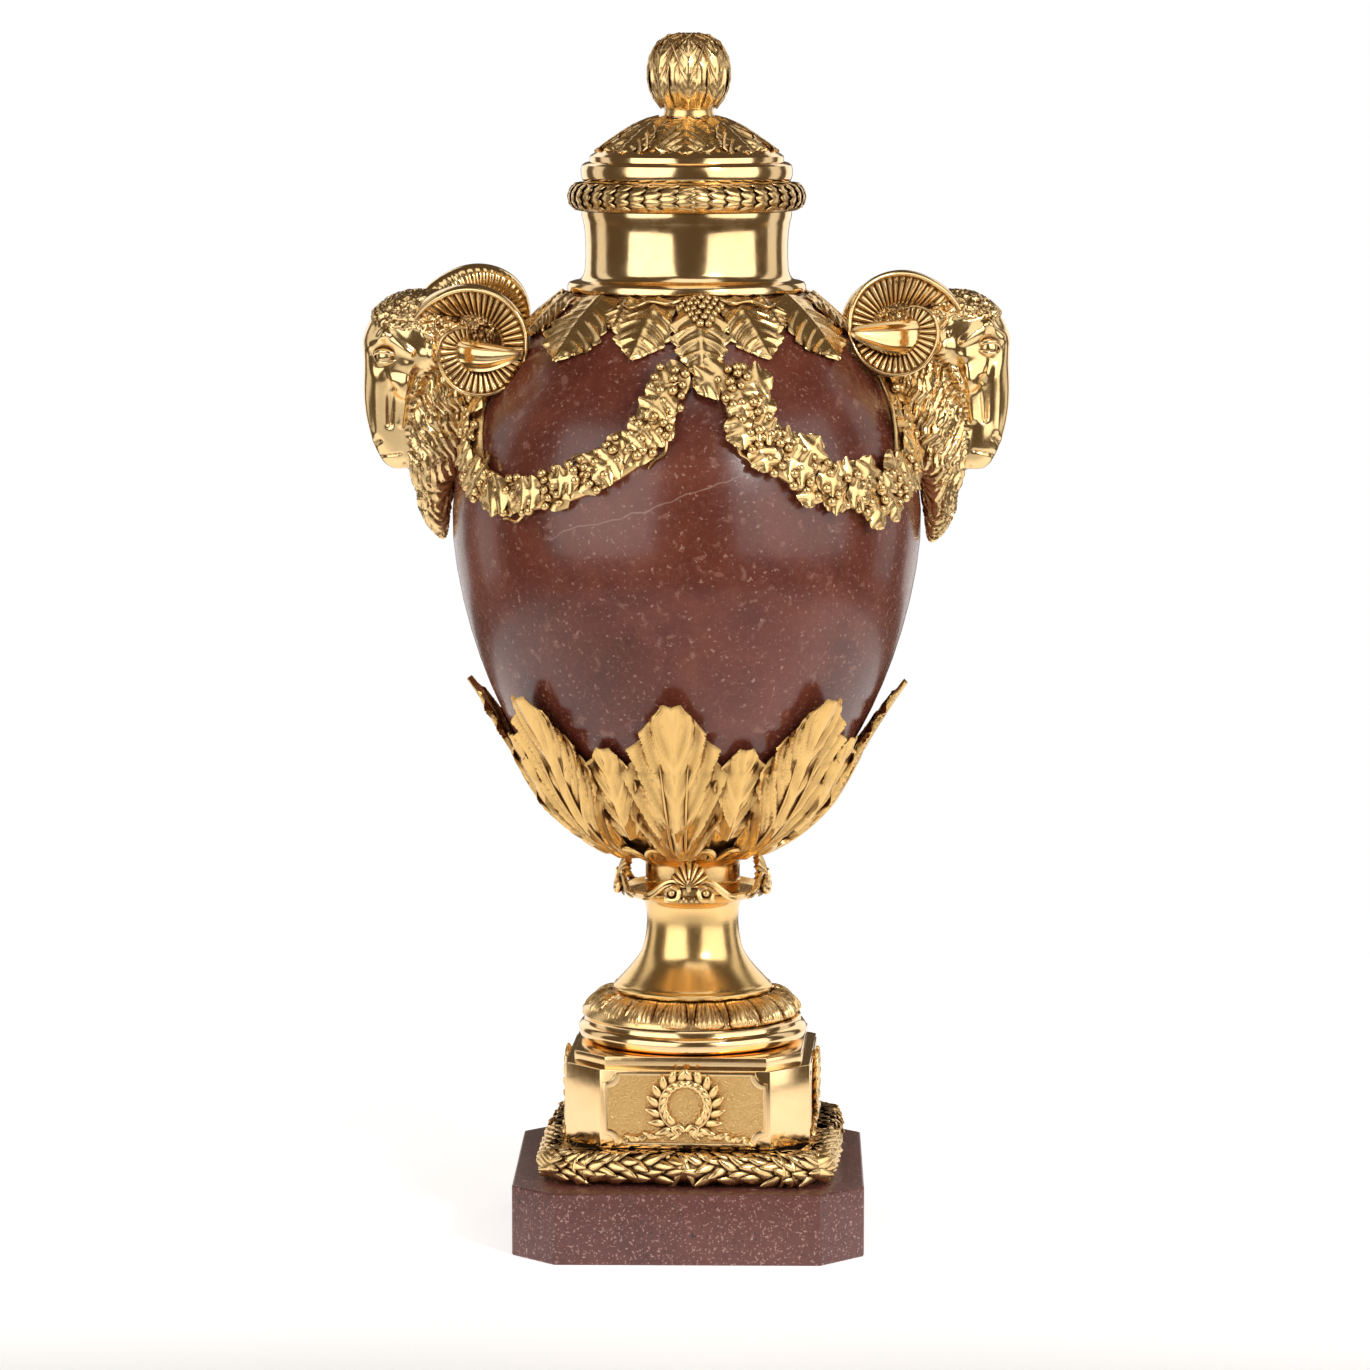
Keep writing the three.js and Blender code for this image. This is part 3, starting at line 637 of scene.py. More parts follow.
# Body seat: the turned bronze drum inside the collar, which carries the cup and the marble. Its
# gilding is left satin, and the rod through the urn clamps it.
drum = bmesh.new()
turned(drum, [(0, 173.3), (23.6, 173.3), (23.6, 178), (24.2, 178.8), (23.6, 179.6), (23.6, 186.2),
              *smooth_through([(23.9, 187.4), (25.2, 189.8), (28, 191.8), (30.5, 192.8)], 2), (0, 192.8)],
       72, FOOT_SHIFT)
install(drum, "body_seat_drum", satin_gilt, "satin_gilt", "body_seat", sharp=35)

# Marble body: one egg of dark red stone, turned and hollowed, polished outside and open at its
# neck. It rests in the acanthus cup and is held by the rod through its floor.
BELLY = {"radius": 116.7, "height": 358, "rise": 132, "fall": 166}
MOUTH = 45
WALL = 11


def body_radius(height):
    """The outside radius of the marble at a height."""
    above = height - BELLY["height"]
    if above > 0:
        return BELLY["radius"] * math.sqrt(max(0, 1 - (above / BELLY["rise"]) ** 2))
    return BELLY["radius"] * (1 - min(1, -above / BELLY["fall"]) ** 1.6) ** 0.465


def polished_marble():
    """Dark reddish-brown stone, polished, with pale flecks, fine cracks and one pale vein."""
    material, tree, shader, place = new_material("polished_red_marble")
    cloud = noisy(tree, place, 16, 6, 0.62, 0.6)
    ground = graded(tree, cloud, (0.25, (0.07, 0.014, 0.008)), (0.45, (0.12, 0.026, 0.015)),
                    (0.6, (0.17, 0.043, 0.024)), (0.8, (0.23, 0.07, 0.042)))
    grain = noisy(tree, place, 330, 4, 0.7)
    ground = mixed(tree, graded(tree, grain, (0.5, 0.0), (0.8, 0.3)), ground, (0.27, 0.1, 0.07))
    fleck = noisy(tree, place, 150, 3, 0.5, 0.4)
    ground = mixed(tree, graded(tree, fleck, (0.63, 0.0), (0.69, 0.34)), ground, (0.4, 0.2, 0.15))
    speck = noisy(tree, place, 520, 2, 0.5)
    ground = mixed(tree, graded(tree, speck, (0.64, 0.0), (0.7, 0.6)), ground, (0.5, 0.29, 0.22))
    cells = put(tree, "TexVoronoi", feature="DISTANCE_TO_EDGE", Scale=70.0)
    wander = put(tree, "TexNoise", Scale=40.0, Detail=3.0)
    tree.links.new(place, wander.inputs["Vector"])
    drift = put(tree, "VectorMath", operation="MULTIPLY_ADD")
    tree.links.new(wander.outputs["Color"], drift.inputs[0])
    drift.inputs[1].default_value = (0.012, 0.012, 0.012)
    tree.links.new(place, drift.inputs[2])
    tree.links.new(drift.outputs[0], cells.inputs["Vector"])
    crack = graded(tree, cells.outputs["Distance"], (0.0, 1.0), (0.014, 0.0))
    patch = graded(tree, noisy(tree, place, 12, 2, 0.5), (0.5, 0.0), (0.62, 0.3))
    ground = mixed(tree, sum_of(tree, "MULTIPLY", crack, patch), ground, (0.3, 0.15, 0.11))
    parts = put(tree, "SeparateXYZ")
    tree.links.new(drift.outputs[0], parts.inputs[0])
    slope = sum_of(tree, "MULTIPLY_ADD", parts.outputs["X"], 0.354)
    slope.node.inputs[2].default_value = 0.3855
    far = sum_of(tree, "ABSOLUTE", sum_of(tree, "SUBTRACT", parts.outputs["Z"], slope), 0.0)
    vein = graded(tree, sum_of(tree, "MULTIPLY", far, 200.0), (0.0, 0.7), (0.09, 0.0))
    front_only = graded(tree, sum_of(tree, "MULTIPLY", parts.outputs["Y"], 10.0), (0.0, 1.0), (0.02, 0.0))
    reach = sum_of(tree, "ABSOLUTE", sum_of(tree, "ADD", parts.outputs["X"], 0.012), 0.0)
    reach = graded(tree, sum_of(tree, "MULTIPLY", reach, 10.0), (0.38, 1.0), (0.52, 0.0))
    vein = sum_of(tree, "MULTIPLY", vein, sum_of(tree, "MULTIPLY", front_only, reach))
    ground = mixed(tree, vein, ground, (0.42, 0.26, 0.2))
    tree.links.new(ground, shader.inputs["Base Color"])
    tree.links.new(graded(tree, grain, (0.3, 0.2), (0.75, 0.32)), shader.inputs["Roughness"])
    shader.inputs["Coat Weight"].default_value = 0.2
    shader.inputs["Coat Roughness"].default_value = 0.1
    bumped(tree, shader, crack, 0.00003, 0.25)
    return material


OUTSIDE_HEIGHTS = (214, 217, 221, 226, 232, 239, 247, 256, 266, 278, 291, 305, 320, 335, 350, 365, 380, 394,
                   407, 419, 430, 440, 449, 456, 462, 467, 471.7)
outside = [(body_radius(z), z) for z in OUTSIDE_HEIGHTS]
inside = [(max(MOUTH, body_radius(z) - WALL), z) for z in (455, 440, 420, 395, 365, 335, 305, 280, 258, 244)]
egg = bmesh.new()
turned(egg, [(0, 214), *outside, (MOUTH, 471.7), (MOUTH, 462), *inside, (48, 234), (0, 230)], 192)
install(egg, "marble_urn", polished_marble(), "body_marble", "marble_body", sharp=40)

# Acanthus cup: a chased casting under the marble. A bowl carries eight tall leaves whose tips
# curl away from the stone, and eight small ones between them.
CUP_TURN = -3
CUP_FOOT = 193.1


def cup_radius(height):
    low = [(30,), (43.5,), (53.2,), (60.5,), (66.5,), (71.4,), (75,), (78.4,), (81.4,), (84.3,)]
    if height < 245:
        return blended(low, (height - CUP_FOOT) / (245 - CUP_FOOT))[0]
    return body_radius(height) + 2.7 + 3.2 * max(0, (height - 252) / 31) ** 1.6


CUP_PATH = []
height = CUP_FOOT
while height < 292:
    CUP_PATH.append((cup_radius(height), height))
    height += 1.5


def lengths_of(path):
    """How far along a profile each of its points lies."""
    lengths = [0.0]
    for (r0, z0), (r1, z1) in zip(path, path[1:]):
        lengths.append(lengths[-1] + math.hypot(r1 - r0, z1 - z0))
    return lengths


CUP_LENGTHS = lengths_of(CUP_PATH)


def path_spot(path, lengths, travel):
    """Radius, height and outward normal at a distance along a profile."""
    i = 0
    while i < len(lengths) - 2 and lengths[i + 1] < travel:
        i += 1
    (r0, z0), (r1, z1) = path[i], path[i + 1]
    span = lengths[i + 1] - lengths[i]
    t = (travel - lengths[i]) / span
    return r0 + (r1 - r0) * t, z0 + (z1 - z0) * t, (z1 - z0) / span, -(r1 - r0) / span


def on_cup(turn):
    """Where a leaf at this turn lies on the cup: across and along in millimetres, lifted off it."""
    def lay(across, along, lift):
        radius, height, out, up = path_spot(CUP_PATH, CUP_LENGTHS, along)
        here = turn + math.degrees(across / max(radius, 20))
        return around(here, radius + out * lift, height + up * lift)
    return lay


def leaf(bm, lay, start, length, widths, lobes, notch=0.42, sweep=0.9, rib=1.0, relief=1.0, crown=1.0,
         curl=0.0, columns=24, rows=40, thick=0.9, stand=0.6, flutes=3, flow=0.0, whole=0.0):
    """A chased leaf: mid rib, fluted lobes that sweep up from it, and a curled tip.

    flow leans the flutes along the leaf, and the edge is uncut below the share whole.
    """
    table = [(width,) for width in widths]

    def place(across, along):
        side = 2 * across - 1
        reach = abs(side)
        half = blended(table, along)[0]
        lobe = (along + flow * (1 - reach)) * lobes % 1
        full = math.sin(math.pi * lobe ** 0.8) ** 0.55
        fade = min(1, (1 - along) * 5) * min(1, along * 6)
        cut = fade * (smoothly(whole - 0.2, whole + 0.15, along) if whole else 1)
        scallop = 1 - 0.05 * (1 - math.cos(2 * math.pi * flutes * (lobe - 0.5))) * cut * reach ** 3
        beside = side * half * (1 - notch * (1 - full) * cut * reach ** 2.2) * scallop
        rise = sweep * reach ** 1.35 * half * min(1, (1 - along) * 2.3) * min(1, along * 5)
        flute = math.cos(2 * math.pi * flutes * (lobe - 0.5)) * min(1, reach * 4) * (0.5 + 0.5 * reach)
        lift = stand + crown * (1 - reach ** 2)
        lift += rib * math.exp(-(side * half / 1.6) ** 2) * (1 - 0.6 * along)
        lift += relief * fade * ((full - 0.7) * reach ** 0.6 * 1.3 + 0.36 * flute)
        lift += relief * 0.4 * smoothly(0.8, 1, reach) * full
        lift += curl * max(0, along - 0.72) ** 2 / 0.078
        return lay(beside, start + length * along + rise, lift)

    small = bmesh.new()
    sheet(small, columns, rows, place)
    bmesh.ops.solidify(small, geom=small.faces[:], thickness=thick)
    joined(bm, small)


def clear_of_marble(bm, gap, low=0, high=1000):
    """Moves what lies inside the marble out to just off its face, between two heights."""
    for vert in bm.verts:
        lean = math.hypot(vert.co.x, vert.co.y)
        keep = body_radius(vert.co.z) + gap
        if low < vert.co.z < high and lean < keep:
            vert.co.x *= keep / lean
            vert.co.y *= keep / lean


acanthus = bmesh.new()
bowl = [(cup_radius(z) - 0.6, z) for z in (CUP_FOOT, 196, 199, 203, 208, 214, 220, 226, 232, 239, 243)]
lining = [(cup_radius(z) - 2.2, z) for z in (243, 240, 234, 228)]
turned(acanthus, [(0, CUP_FOOT), *bowl, *lining, (60, 213.4), (0, 213.4)], 144)
TALL = [11, 13, 18, 22.5, 25, 25, 23.5, 20.5, 16.5, 12, 5]
SMALL = [6, 9, 12, 13.5, 13, 11.5, 8.5, 4]
for number in range(8):
    leaf(acanthus, on_cup(CUP_TURN + 22.5 + 45 * number), 34, 57, SMALL, 3.5, notch=0.4, flow=0.3, whole=0.4,
         rib=1.5, relief=2.1, columns=24, rows=38, stand=0.8, flutes=2)
for number in range(8):
    leaf(acanthus, on_cup(CUP_TURN + 45 * number), 1, 119, TALL, 5.5, flow=0.34, whole=0.45, rib=2.2,
         relief=3.0, crown=1.6, curl=2.0, columns=34, rows=64, stand=1.2, flutes=2)
    for side in (1, -1):
        lay = on_cup(CUP_TURN + 45 * number + side * 1.8)
        stalk = ((1, 4, 3.4), (1.6, 30, 3.9), (2.6, 58, 3.8), (4, 84, 3.4))
        line = [lay(side * x, y, lift) for x, y, lift in stalk]
        rod(acanthus, line, [0.6, 0.9, 0.7, 0.3], up=lay(0, 40, 9) - lay(0, 40, 0))
        scroll = ((3, 3, 1.6), (9, 6, 3), (14, 14, 3.4), (13, 22, 3.2), (8, 22, 3), (8, 16, 2.6))
        line = [lay(side * x, y, lift) for x, y, lift in scroll]
        rod(acanthus, line, [1.0, 1.9, 2.1, 1.5, 0.8], up=lay(0, 40, 9) - lay(0, 40, 0), flat=0.8)
clear_of_marble(acanthus, 0.25, low=240)
for vert in acanthus.verts:
    vert.co.z = max(vert.co.z, CUP_FOOT)
# The deepest painted shade of all: 0.95, a wider occlusion reach and a dark hollow colour, down among the
# leaves.
cup_gilt = gilding("cup_gilding", 0.2, 0.95, bright=(0.86, 0.56, 0.21), hollow=(0.2, 0.08, 0.02), reach=0.005)
install(acanthus, "acanthus_bowl", cup_gilt, "satin_gilt", "acanthus_cup", sharp=55)

# Vine collar: cast vine leaves that hang from the neck over the shoulder of the marble, with a
# bunch of grapes between them at the front and the back. Screwed down under the neck.
GARLAND_TURN = 5.5
SHOULDER = math.asin(112.8 / BELLY["rise"])


def on_shoulder(turn, tilt=0.0):
    """Where a vine leaf lies on the marble's shoulder, along measured down from its top edge."""
    lean = math.radians(tilt)

    def lay(across, along, lift):
        x = across * math.cos(lean) + along * math.sin(lean)
        y = along * math.cos(lean) - across * math.sin(lean)
        slope = SHOULDER - y / 123
        radius = BELLY["radius"] * math.cos(slope)
        up = BELLY["height"] + BELLY["rise"] * math.sin(slope)
        out = Vector((BELLY["rise"] * math.cos(slope), BELLY["radius"] * math.sin(slope))).normalized()
        return around(turn + math.degrees(x / max(radius, 60)), radius + out.x * lift, up + out.y * lift)
    return lay


VINE = [10, 14, 17.5, 18.5, 17.5, 15.5, 13, 10, 6, 1]
# turn from the front, tilt, length, width and stand of each leaf of half the collar
SET = ((0, 0, 54, 0.8, 2.8), (17, 10, 42, 0.86, 1.2), (-17, -10, 42, 0.86, 1.2), (46, 4, 44, 1.12, 1.6),
       (-46, -4, 44, 1.12, 1.6), (31, 0, 24, 0.6, 0.8), (-31, 0, 24, 0.6, 0.8), (74, 0, 32, 0.9, 1.4),
       (-74, 0, 32, 0.9, 1.4), (90, 0, 26, 0.7, 1))
vines = bmesh.new()
for half in (0, 180):
    for turn, tilt, length, wide, stand in sorted(SET, key=lambda item: item[4]):
        lay, widths = on_shoulder(GARLAND_TURN + half + turn, tilt), [w * wide for w in VINE]
        leaf(vines, lay, 0.5, length - 2, widths, 6.5, notch=0.36, sweep=0.6, rib=1.1, relief=1.6, crown=1.4,
             curl=1.2, columns=22, rows=42, stand=stand, flutes=2)
    lay = on_shoulder(GARLAND_TURN + half + 1.4)
    grapes = random.Random(7)
    for row in range(6):
        for column in range(6 - abs(row - 1)):
            across = (column - (5 - abs(row - 1)) / 2) * 3.5 + grapes.uniform(-0.4, 0.4)
            spot = lay(across, 4 + row * 3.4, 3.6 + 2.4 * (1 - abs(across) / 9) + grapes.uniform(-0.4, 0.4))
            seed(vines, spot, lay(0, 30, 0) - lay(0, 0, 0), lay(0, 10, 5) - lay(0, 10, 0), 4.2, 4.2, 2.1)
    for side in (1, -1):
        tendril = ((8, 3, 4), (15, 7, 4.5), (24, 5, 4), (33, 10, 4.5), (39, 6, 3))
        line = [lay(side * x, y, lift) for x, y, lift in tendril]
        rod(vines, line, [1.2, 1.0, 0.8, 0.6], up=lay(0, 10, 5) - lay(0, 10, 0))
clear_of_marble(vines, 0.15, high=470)
turned(vines, [(body_radius(467) + 0.3, 467), (body_radius(467) + 1.6, 468.4), (60.5, 471), (58.5, 471.6),
               (body_radius(471) + 0.2, 471.2)], 96, closed=True)
install(vines, "vine_collar_leaves", leaf_gilt, "gilt_bronze", "vine_collar", sharp=55)

# Neck mount: a bronze casting turned on the lathe, gilt and burnished bright. It stands on the
# marble's mouth, over the upper edge of the vine collar, and takes the lid's flange.
NECK = [(58.5, 472), (59.1, 473.5), (59.1, 476), (58.3, 477.5), (56.5, 478.2), (53.6, 478.6), (52.3, 479.6),
        (51.2, 481.2), (50.4, 484), (50.1, 490), (50.1, 497), (50.5, 503), (51.2, 507.5), (52, 510),
        (52.1, 512.7)]
neck = bmesh.new()
turned(neck, [*NECK, (44, 512.7), (44, 472)], closed=True)
install(neck, "neck_ring", mirror_gilt, "gilt_bronze", "neck_mount", sharp=40)

# Rim wreath: a cast and gilt roll of overlapping laurel leaves under the lid. Its leaves run
# round from the sides and meet at the front and the back.
wreath = bmesh.new()
turned(wreath, [(46, 513), (54.5, 513.1), (56.9, 515.8), (57.5, 519), (57, 522), (54.6, 525.4), (51.5, 526.6),
                (46, 526.7)], 96, closed=True)


def on_rim(turn, angle, lift=0.0):
    """A point on the wreath's roll: turn round the neck, and angle up round its section."""
    bend = math.radians(angle)
    return around(turn, 51.8 + (6 + lift) * math.cos(bend), 519.8 + (6.3 + lift) * math.sin(bend))


for number in range(44):
    turn = 360 * number / 44
    mirror = 1 if math.sin(math.radians(turn)) > 0 else -1
    for row in range(4):
        angle = -48 + 33 * row + 16 * (number % 2)
        spot = on_rim(turn, angle, 0.1)
        ahead = on_rim(turn - mirror * 4, angle + 6, 0.9) - on_rim(turn + mirror * 4, angle, -0.5)
        seed(wreath, spot, ahead, spot - on_rim(turn, angle, -3), 11, 5.4, 1.4)
for vert in wreath.verts:
    vert.co.z = min(max(vert.co.z, 513), 526.7)
install(wreath, "rim_laurel", leaf_gilt, "gilt_bronze", "rim_wreath", sharp=60)

# Lid: a turned and gilt dome with a rounded bead at its edge and a flange that drops into the
# neck, chased with low acanthus leaves over the top.
DOME = [(51, 527.1), (51.6, 528), (52.3, 530), (52.4, 533), (51.9, 535.2), (50.4, 536.4), (48.2, 537),
        (48, 537.6), (48, 539.6), (47, 540.4), (42.5, 543.4), (37.3, 547), (31.5, 550.8), (25.6, 554.2),
        (19, 556.8), (12.5, 558.3)]
lid = bmesh.new()
turned(lid, [(0, 551.5), (21, 549.5), (42, 535), (42, 519), (45.4, 519), (45.4, 527.1), *DOME, (0, 558.5)])
install(lid, "lid_dome", mirror_gilt, "gilt_bronze", "lid", sharp=35)

LID_PATH = DOME[9:]
LID_LENGTHS = lengths_of(LID_PATH)


def on_lid(turn):
    """Where a leaf at this turn lies on the dome, along measured down from its middle."""
    def lay(across, along, lift):
        radius, height, out, up = path_spot(LID_PATH, LID_LENGTHS, LID_LENGTHS[-1] - along)
        out, up = abs(out), abs(up)
        return around(turn + math.degrees(across / max(radius, 12)), radius + out * lift, height + up * lift)
    return lay


crown_leaves = bmesh.new()
for number in range(8):
    leaf(crown_leaves, on_lid(22.5 + 45 * number), 9, 26, [4, 6.5, 8.5, 9, 7.5, 5.5, 3, 0.4], 3.5, relief=1.1,
         crown=0.3, stand=0, rib=0.6, columns=18, rows=32, thick=0.5)
for number in range(8):
    leaf(crown_leaves, on_lid(45 * number), 1, 36, [4, 7.5, 11.5, 14, 14.5, 13, 10, 6.5, 1], 5.5, relief=1.5,
         crown=0.6, stand=0.1, rib=1.2, sweep=1.1, columns=22, rows=44, thick=0.7, flutes=2)
install(crown_leaves, "lid_acanthus", leaf_gilt, "gilt_bronze", sharp=55)

# Knob: a cast bud on a short neck, wrapped in upright acanthus leaves, screwed through the lid.
BUD_SHIFT = 1
BUD = [(12.3, 558.8), (12.6, 560), (12, 561.6), (12.4, 563.2), (14.2, 565.7), (16.8, 569), (18.8, 573),
       (19.9, 578), (20, 583.3), (19.1, 588), (17, 592.8), (13.8, 596.6), (9.4, 599), (4.5, 600), (0, 600.2)]
BUD_PATH = BUD[3:]
BUD_LENGTHS = lengths_of(BUD_PATH)


def on_bud(turn):
    """Where a leaf at this turn lies on the bud, along measured up from its neck."""
    def lay(across, along, lift):
        radius, height, out, up = path_spot(BUD_PATH, BUD_LENGTHS, along)
        bend = math.degrees(across / max(radius, 5))
        return around(turn + bend, radius + out * lift, height + up * lift) + Vector((BUD_SHIFT, 0, 0))
    return lay


knob = bmesh.new()
turned(knob, [(0, 558.8), *BUD], 64, BUD_SHIFT)
INNER_BUD_LEAF = [3.4, 6, 8.2, 9, 8.4, 6.5, 4.4, 2.4, 0.6]
OUTER_BUD_LEAF = [3.6, 6, 8, 8.6, 7.8, 6, 3.6, 1]
for number in range(8):
    leaf(knob, on_bud(22.5 + 45 * number), 3, 44, INNER_BUD_LEAF, 3.5, notch=0.25, sweep=2.2, relief=1.1,
         crown=0.1, stand=-0.3, rib=0.8, columns=16, rows=38, thick=0.6, flutes=2)
for number in range(8):
    leaf(knob, on_bud(45 * number), 1, 36, OUTER_BUD_LEAF, 3.5, notch=0.25, sweep=2.2, relief=1.2,
         crown=0.3, stand=-0.1, rib=1.0, columns=18, rows=36, thick=0.7, flutes=2)
for vert in knob.verts:
    vert.co.z = max(vert.co.z, 558.8)
install(knob, "knob_leaves", leaf_gilt, "gilt_bronze", "bud_knob", sharp=55)

# Swags: four cast garlands of vine leaves and grapes, each hung from under the vine collar down
# across the marble and up to a ram's head. Thickest in their middle third.
# share of the way to the ram, and height, of a swag's middle line
SWAG_LINE = [(0.11, 437), (0.145, 420), (0.22, 403), (0.35, 390), (0.5, 381.8), (0.66, 377.8),
             (0.8, 382.5), (0.9, 394), (0.985, 412), (1.04, 432)]
SWAGS = {"swag_front_left": (5.5, -1, 78), "swag_front_right": (5.5, 1, 71),
         "swag_back_right": (185.5, -1, 78), "swag_back_left": (185.5, 1, 71)}


def normal_of(height):
    """The marble's outward direction at a height, as (out, up)."""
    slope = (body_radius(height + 0.5) - body_radius(height - 0.5))
    return Vector((1, -slope)).normalized()


def on_swag(join, side, span, share, across, lift):
    """A point on a swag: share of its way, millimetres beside its middle line, lifted off the marble."""
    way, height = blended(SWAG_LINE, share)
    next_way, next_height = blended(SWAG_LINE, min(1, share + 0.01))
    radius = body_radius(height)
    easting = (next_way - way) * math.radians(span) * radius
    northing = next_height - height
    length = max(1e-6, math.hypot(easting, northing))
    height += across * easting / length
    turn = join + side * (way * span - math.degrees(across / radius) * northing / length)
    out = normal_of(height)
    return around(turn, body_radius(height) + out.x * lift, height + out.y * lift)


def on_swag_leaf(join, side, span, share, across, lean, stand):
    """Where a vine leaf lies on a swag, pointing lean degrees away from the swag's own way."""
    middle = on_swag(join, side, span, share, across, stand)
    ahead = (on_swag(join, side, span, share + 0.03, across, stand) - middle).normalized()
    out = (on_swag(join, side, span, share, across, stand + 2) - middle).normalized()
    beside = out.cross(ahead)
    turned_by = math.radians(lean)
    way = ahead * math.cos(turned_by) + beside * math.sin(turned_by)
    wide = out.cross(way)

    def lay(x, y, lift):
        flat = middle + way * y + wide * x
        lean_in = math.hypot(flat.x, flat.y)
        keep = body_radius(flat.z) + stand - 0.03 * (y - 8) ** 2 / 2
        over = Vector((flat.x, flat.y, 0)) / lean_in
        up = normal_of(flat.z)
        drop = over * (keep - lean_in) * up.x
        return flat + drop + (over * up.x + Vector((0, 0, up.y))) * lift
    return lay


VINE_LEAF = [4, 7.5, 9.2, 9.6, 9.2, 8.8, 8, 6.6, 4.6, 1.6]


def hang_swag(name, join, side, span):
    """One garland: a rounded cover on the marble, heaped with grapes, leaves and tendrils."""
    swag = bmesh.new()
    chance = random.Random(name)

    def cover(across, along):
        angle = math.pi * across
        fat = 7.4 * (1.05 - 0.18 * along) * min(1, 2.2 * (1 - along) + 0.6) * min(1, 0.6 + 3 * along)
        beside = fat * math.cos(angle)
        return on_swag(join, side, span, 0.005 + 0.99 * along, beside, 0.3 + 4.6 * math.sin(angle))

    made = sheet(swag, 12, 48, cover)
    bmesh.ops.solidify(swag, geom=list({face for vert in made for face in vert.link_faces}), thickness=0.5)
    step = 0.0
    while step < 1:
        fat = 11 * (1.05 - 0.18 * step) * min(1, 2.4 * (1 - step) + 0.55) * min(1, 0.75 + 2 * step)
        count = max(2, int(fat / 2.1))
        for i in range(count):
            across = fat * (2 * (i + 0.5) / count - 1) * 0.94 + chance.uniform(-0.7, 0.7)
            lift = 1.6 + 5.4 * math.sqrt(max(0, 1 - (across / (fat + 1)) ** 2)) + chance.uniform(-0.8, 0.8)
            share = step + chance.uniform(-0.01, 0.01)
            spot = on_swag(join, side, span, share, across, lift)
            ahead = on_swag(join, side, span, share + 0.02, across, lift) - spot
            out = (on_swag(join, side, span, share, across, lift + 2) - spot).normalized()
            if chance.random() < 0.22:
                continue
            size = chance.uniform(4.2, 5.4)
            seed(swag, spot, ahead, out, size, size, size / 2)
        step += 0.034
    for i in range(30):
        share = 0.015 + 0.97 * (i + chance.uniform(-0.3, 0.3)) / 30
        edge = (-1, 1, 0, 1, -1, 0.3)[i % 6]
        lean = edge * chance.uniform(35, 80) + chance.uniform(-25, 25)
        size = chance.uniform(0.75, 1.12) * (1.1 if i < 5 else 1) * (0.85 if i > 24 else 1)
        stand = (4.6 if edge in (1, -1) else 6.4) + chance.uniform(-0.8, 1.0)
        lay = on_swag_leaf(join, side, span, share, edge * 4.5, lean, stand)
        leaf(swag, lay, -4 * size, 17 * size, [w * size for w in VINE_LEAF], 2.5, notch=0.26, sweep=0.25,
             rib=0.7, flutes=1, relief=0.9, crown=1.2, curl=-0.8 + chance.uniform(0, 1.6), columns=12, rows=18,
             thick=0.8, stand=1.0)
    for i in range(5):
        share = 0.15 + 0.17 * i
        flip = 1 if i % 2 else -1
        line = [on_swag(join, side, span, share + 0.02 * k, flip * (7 + x), lift) for k, (x, lift) in
                enumerate(((0, 5), (3, 4), (5, 2.6), (3.6, 2), (4.4, 1.6)))]
        rod(swag, line, [0.9, 0.8, 0.5], up=around(join, 1, 0.4).normalized(), sides=5)
    clear_of_marble(swag, 0.1)
    install(swag, name + "_vine", leaf_gilt, "gilt_bronze", name, sharp=55)


for name, (join, side, span) in SWAGS.items():
    hang_swag(name, join, side, span)

# Rams' heads: two hollow castings on the shoulder, each chased all over. The face is burnished
# smooth, the cap and neck are worked as wool and hair, and the ridged horns were cast apart and
# brazed on round the ears.
RAM_TURN = 2
# height, middle, half depth and half width of the head, from the lips up to the wool cap
FACE = [(384.6, 143.5, 3.5, 4.5), (387.5, 143.8, 7, 7.2), (391, 144.3, 8.6, 9), (396, 145.2, 10.2, 10.2),
        (402, 146, 11.4, 11.2), (410, 146, 13.2, 11.9), (417, 145.2, 14.9, 13.2), (424, 143.9, 16.5, 15),
        (431, 142.2, 18.1, 17.4), (436, 140.7, 19.4, 19.6), (441, 139.5, 20.6, 21.4), (446, 138.9, 21.5, 22.3),
        (450, 138.5, 22, 22.3), (455, 137.2, 21.6, 21.6), (460, 135.5, 21, 20), (464, 134.2, 19.4, 17.8),
        (467.5, 132.9, 16.8, 15.2), (470.4, 131.8, 13, 11.8), (472.3, 131, 8, 8)]
NECK_HAIR = [(348.2, 121.5, 1.6, 2), (353.5, 123.6, 4.6, 6.2), (361, 125.2, 6.8, 9.8), (371, 125.4, 8.2, 13),
             (378.5, 125.5, 10.8, 15), (386, 123.5, 15.6, 17), (395, 122, 18, 18), (404, 121, 19.4, 18.5),
             (415, 119.5, 20.8, 18.8), (425, 118, 22, 19), (437, 116, 22.8, 18.4), (448, 114, 23, 17),
             (461, 112, 21, 14), (466, 113, 14, 9)]
# turn of the winding, distance from its middle, distance beside the head, half width of the band
HORN = [(8, 29, 13, 8.5), (50, 21.5, 21, 8.8), (95, 17.8, 28, 8.6), (145, 17.6, 34, 7.6),
        (200, 18.2, 37.5, 6.4), (260, 18.6, 39.5, 6), (315, 18.6, 41, 5.6), (365, 16.5, 42.5, 4.8),
        (410, 9, 42, 2.6)]
# one round of the horn's section, out along its band and out from its face
HORN_SECTION = [(1, 0), (1, 0.4), (0.94, 0.68), (0.8, 0.76), (0.67, 0.62), (0.6, 0.3), (0.3, 0.22),
                (-0.1, 0.06), (-0.55, -0.12), (-0.92, -0.28), (-0.9, -0.52), (-0.4, -0.7), (0.1, -0.76),
                (0.55, -0.7), (0.88, -0.46), (1, 0)]
HORN_MIDDLE = (101.5, 454.5)
HORN_RIDGES = 45
EYE = (148.4, 16.4, 444.6)
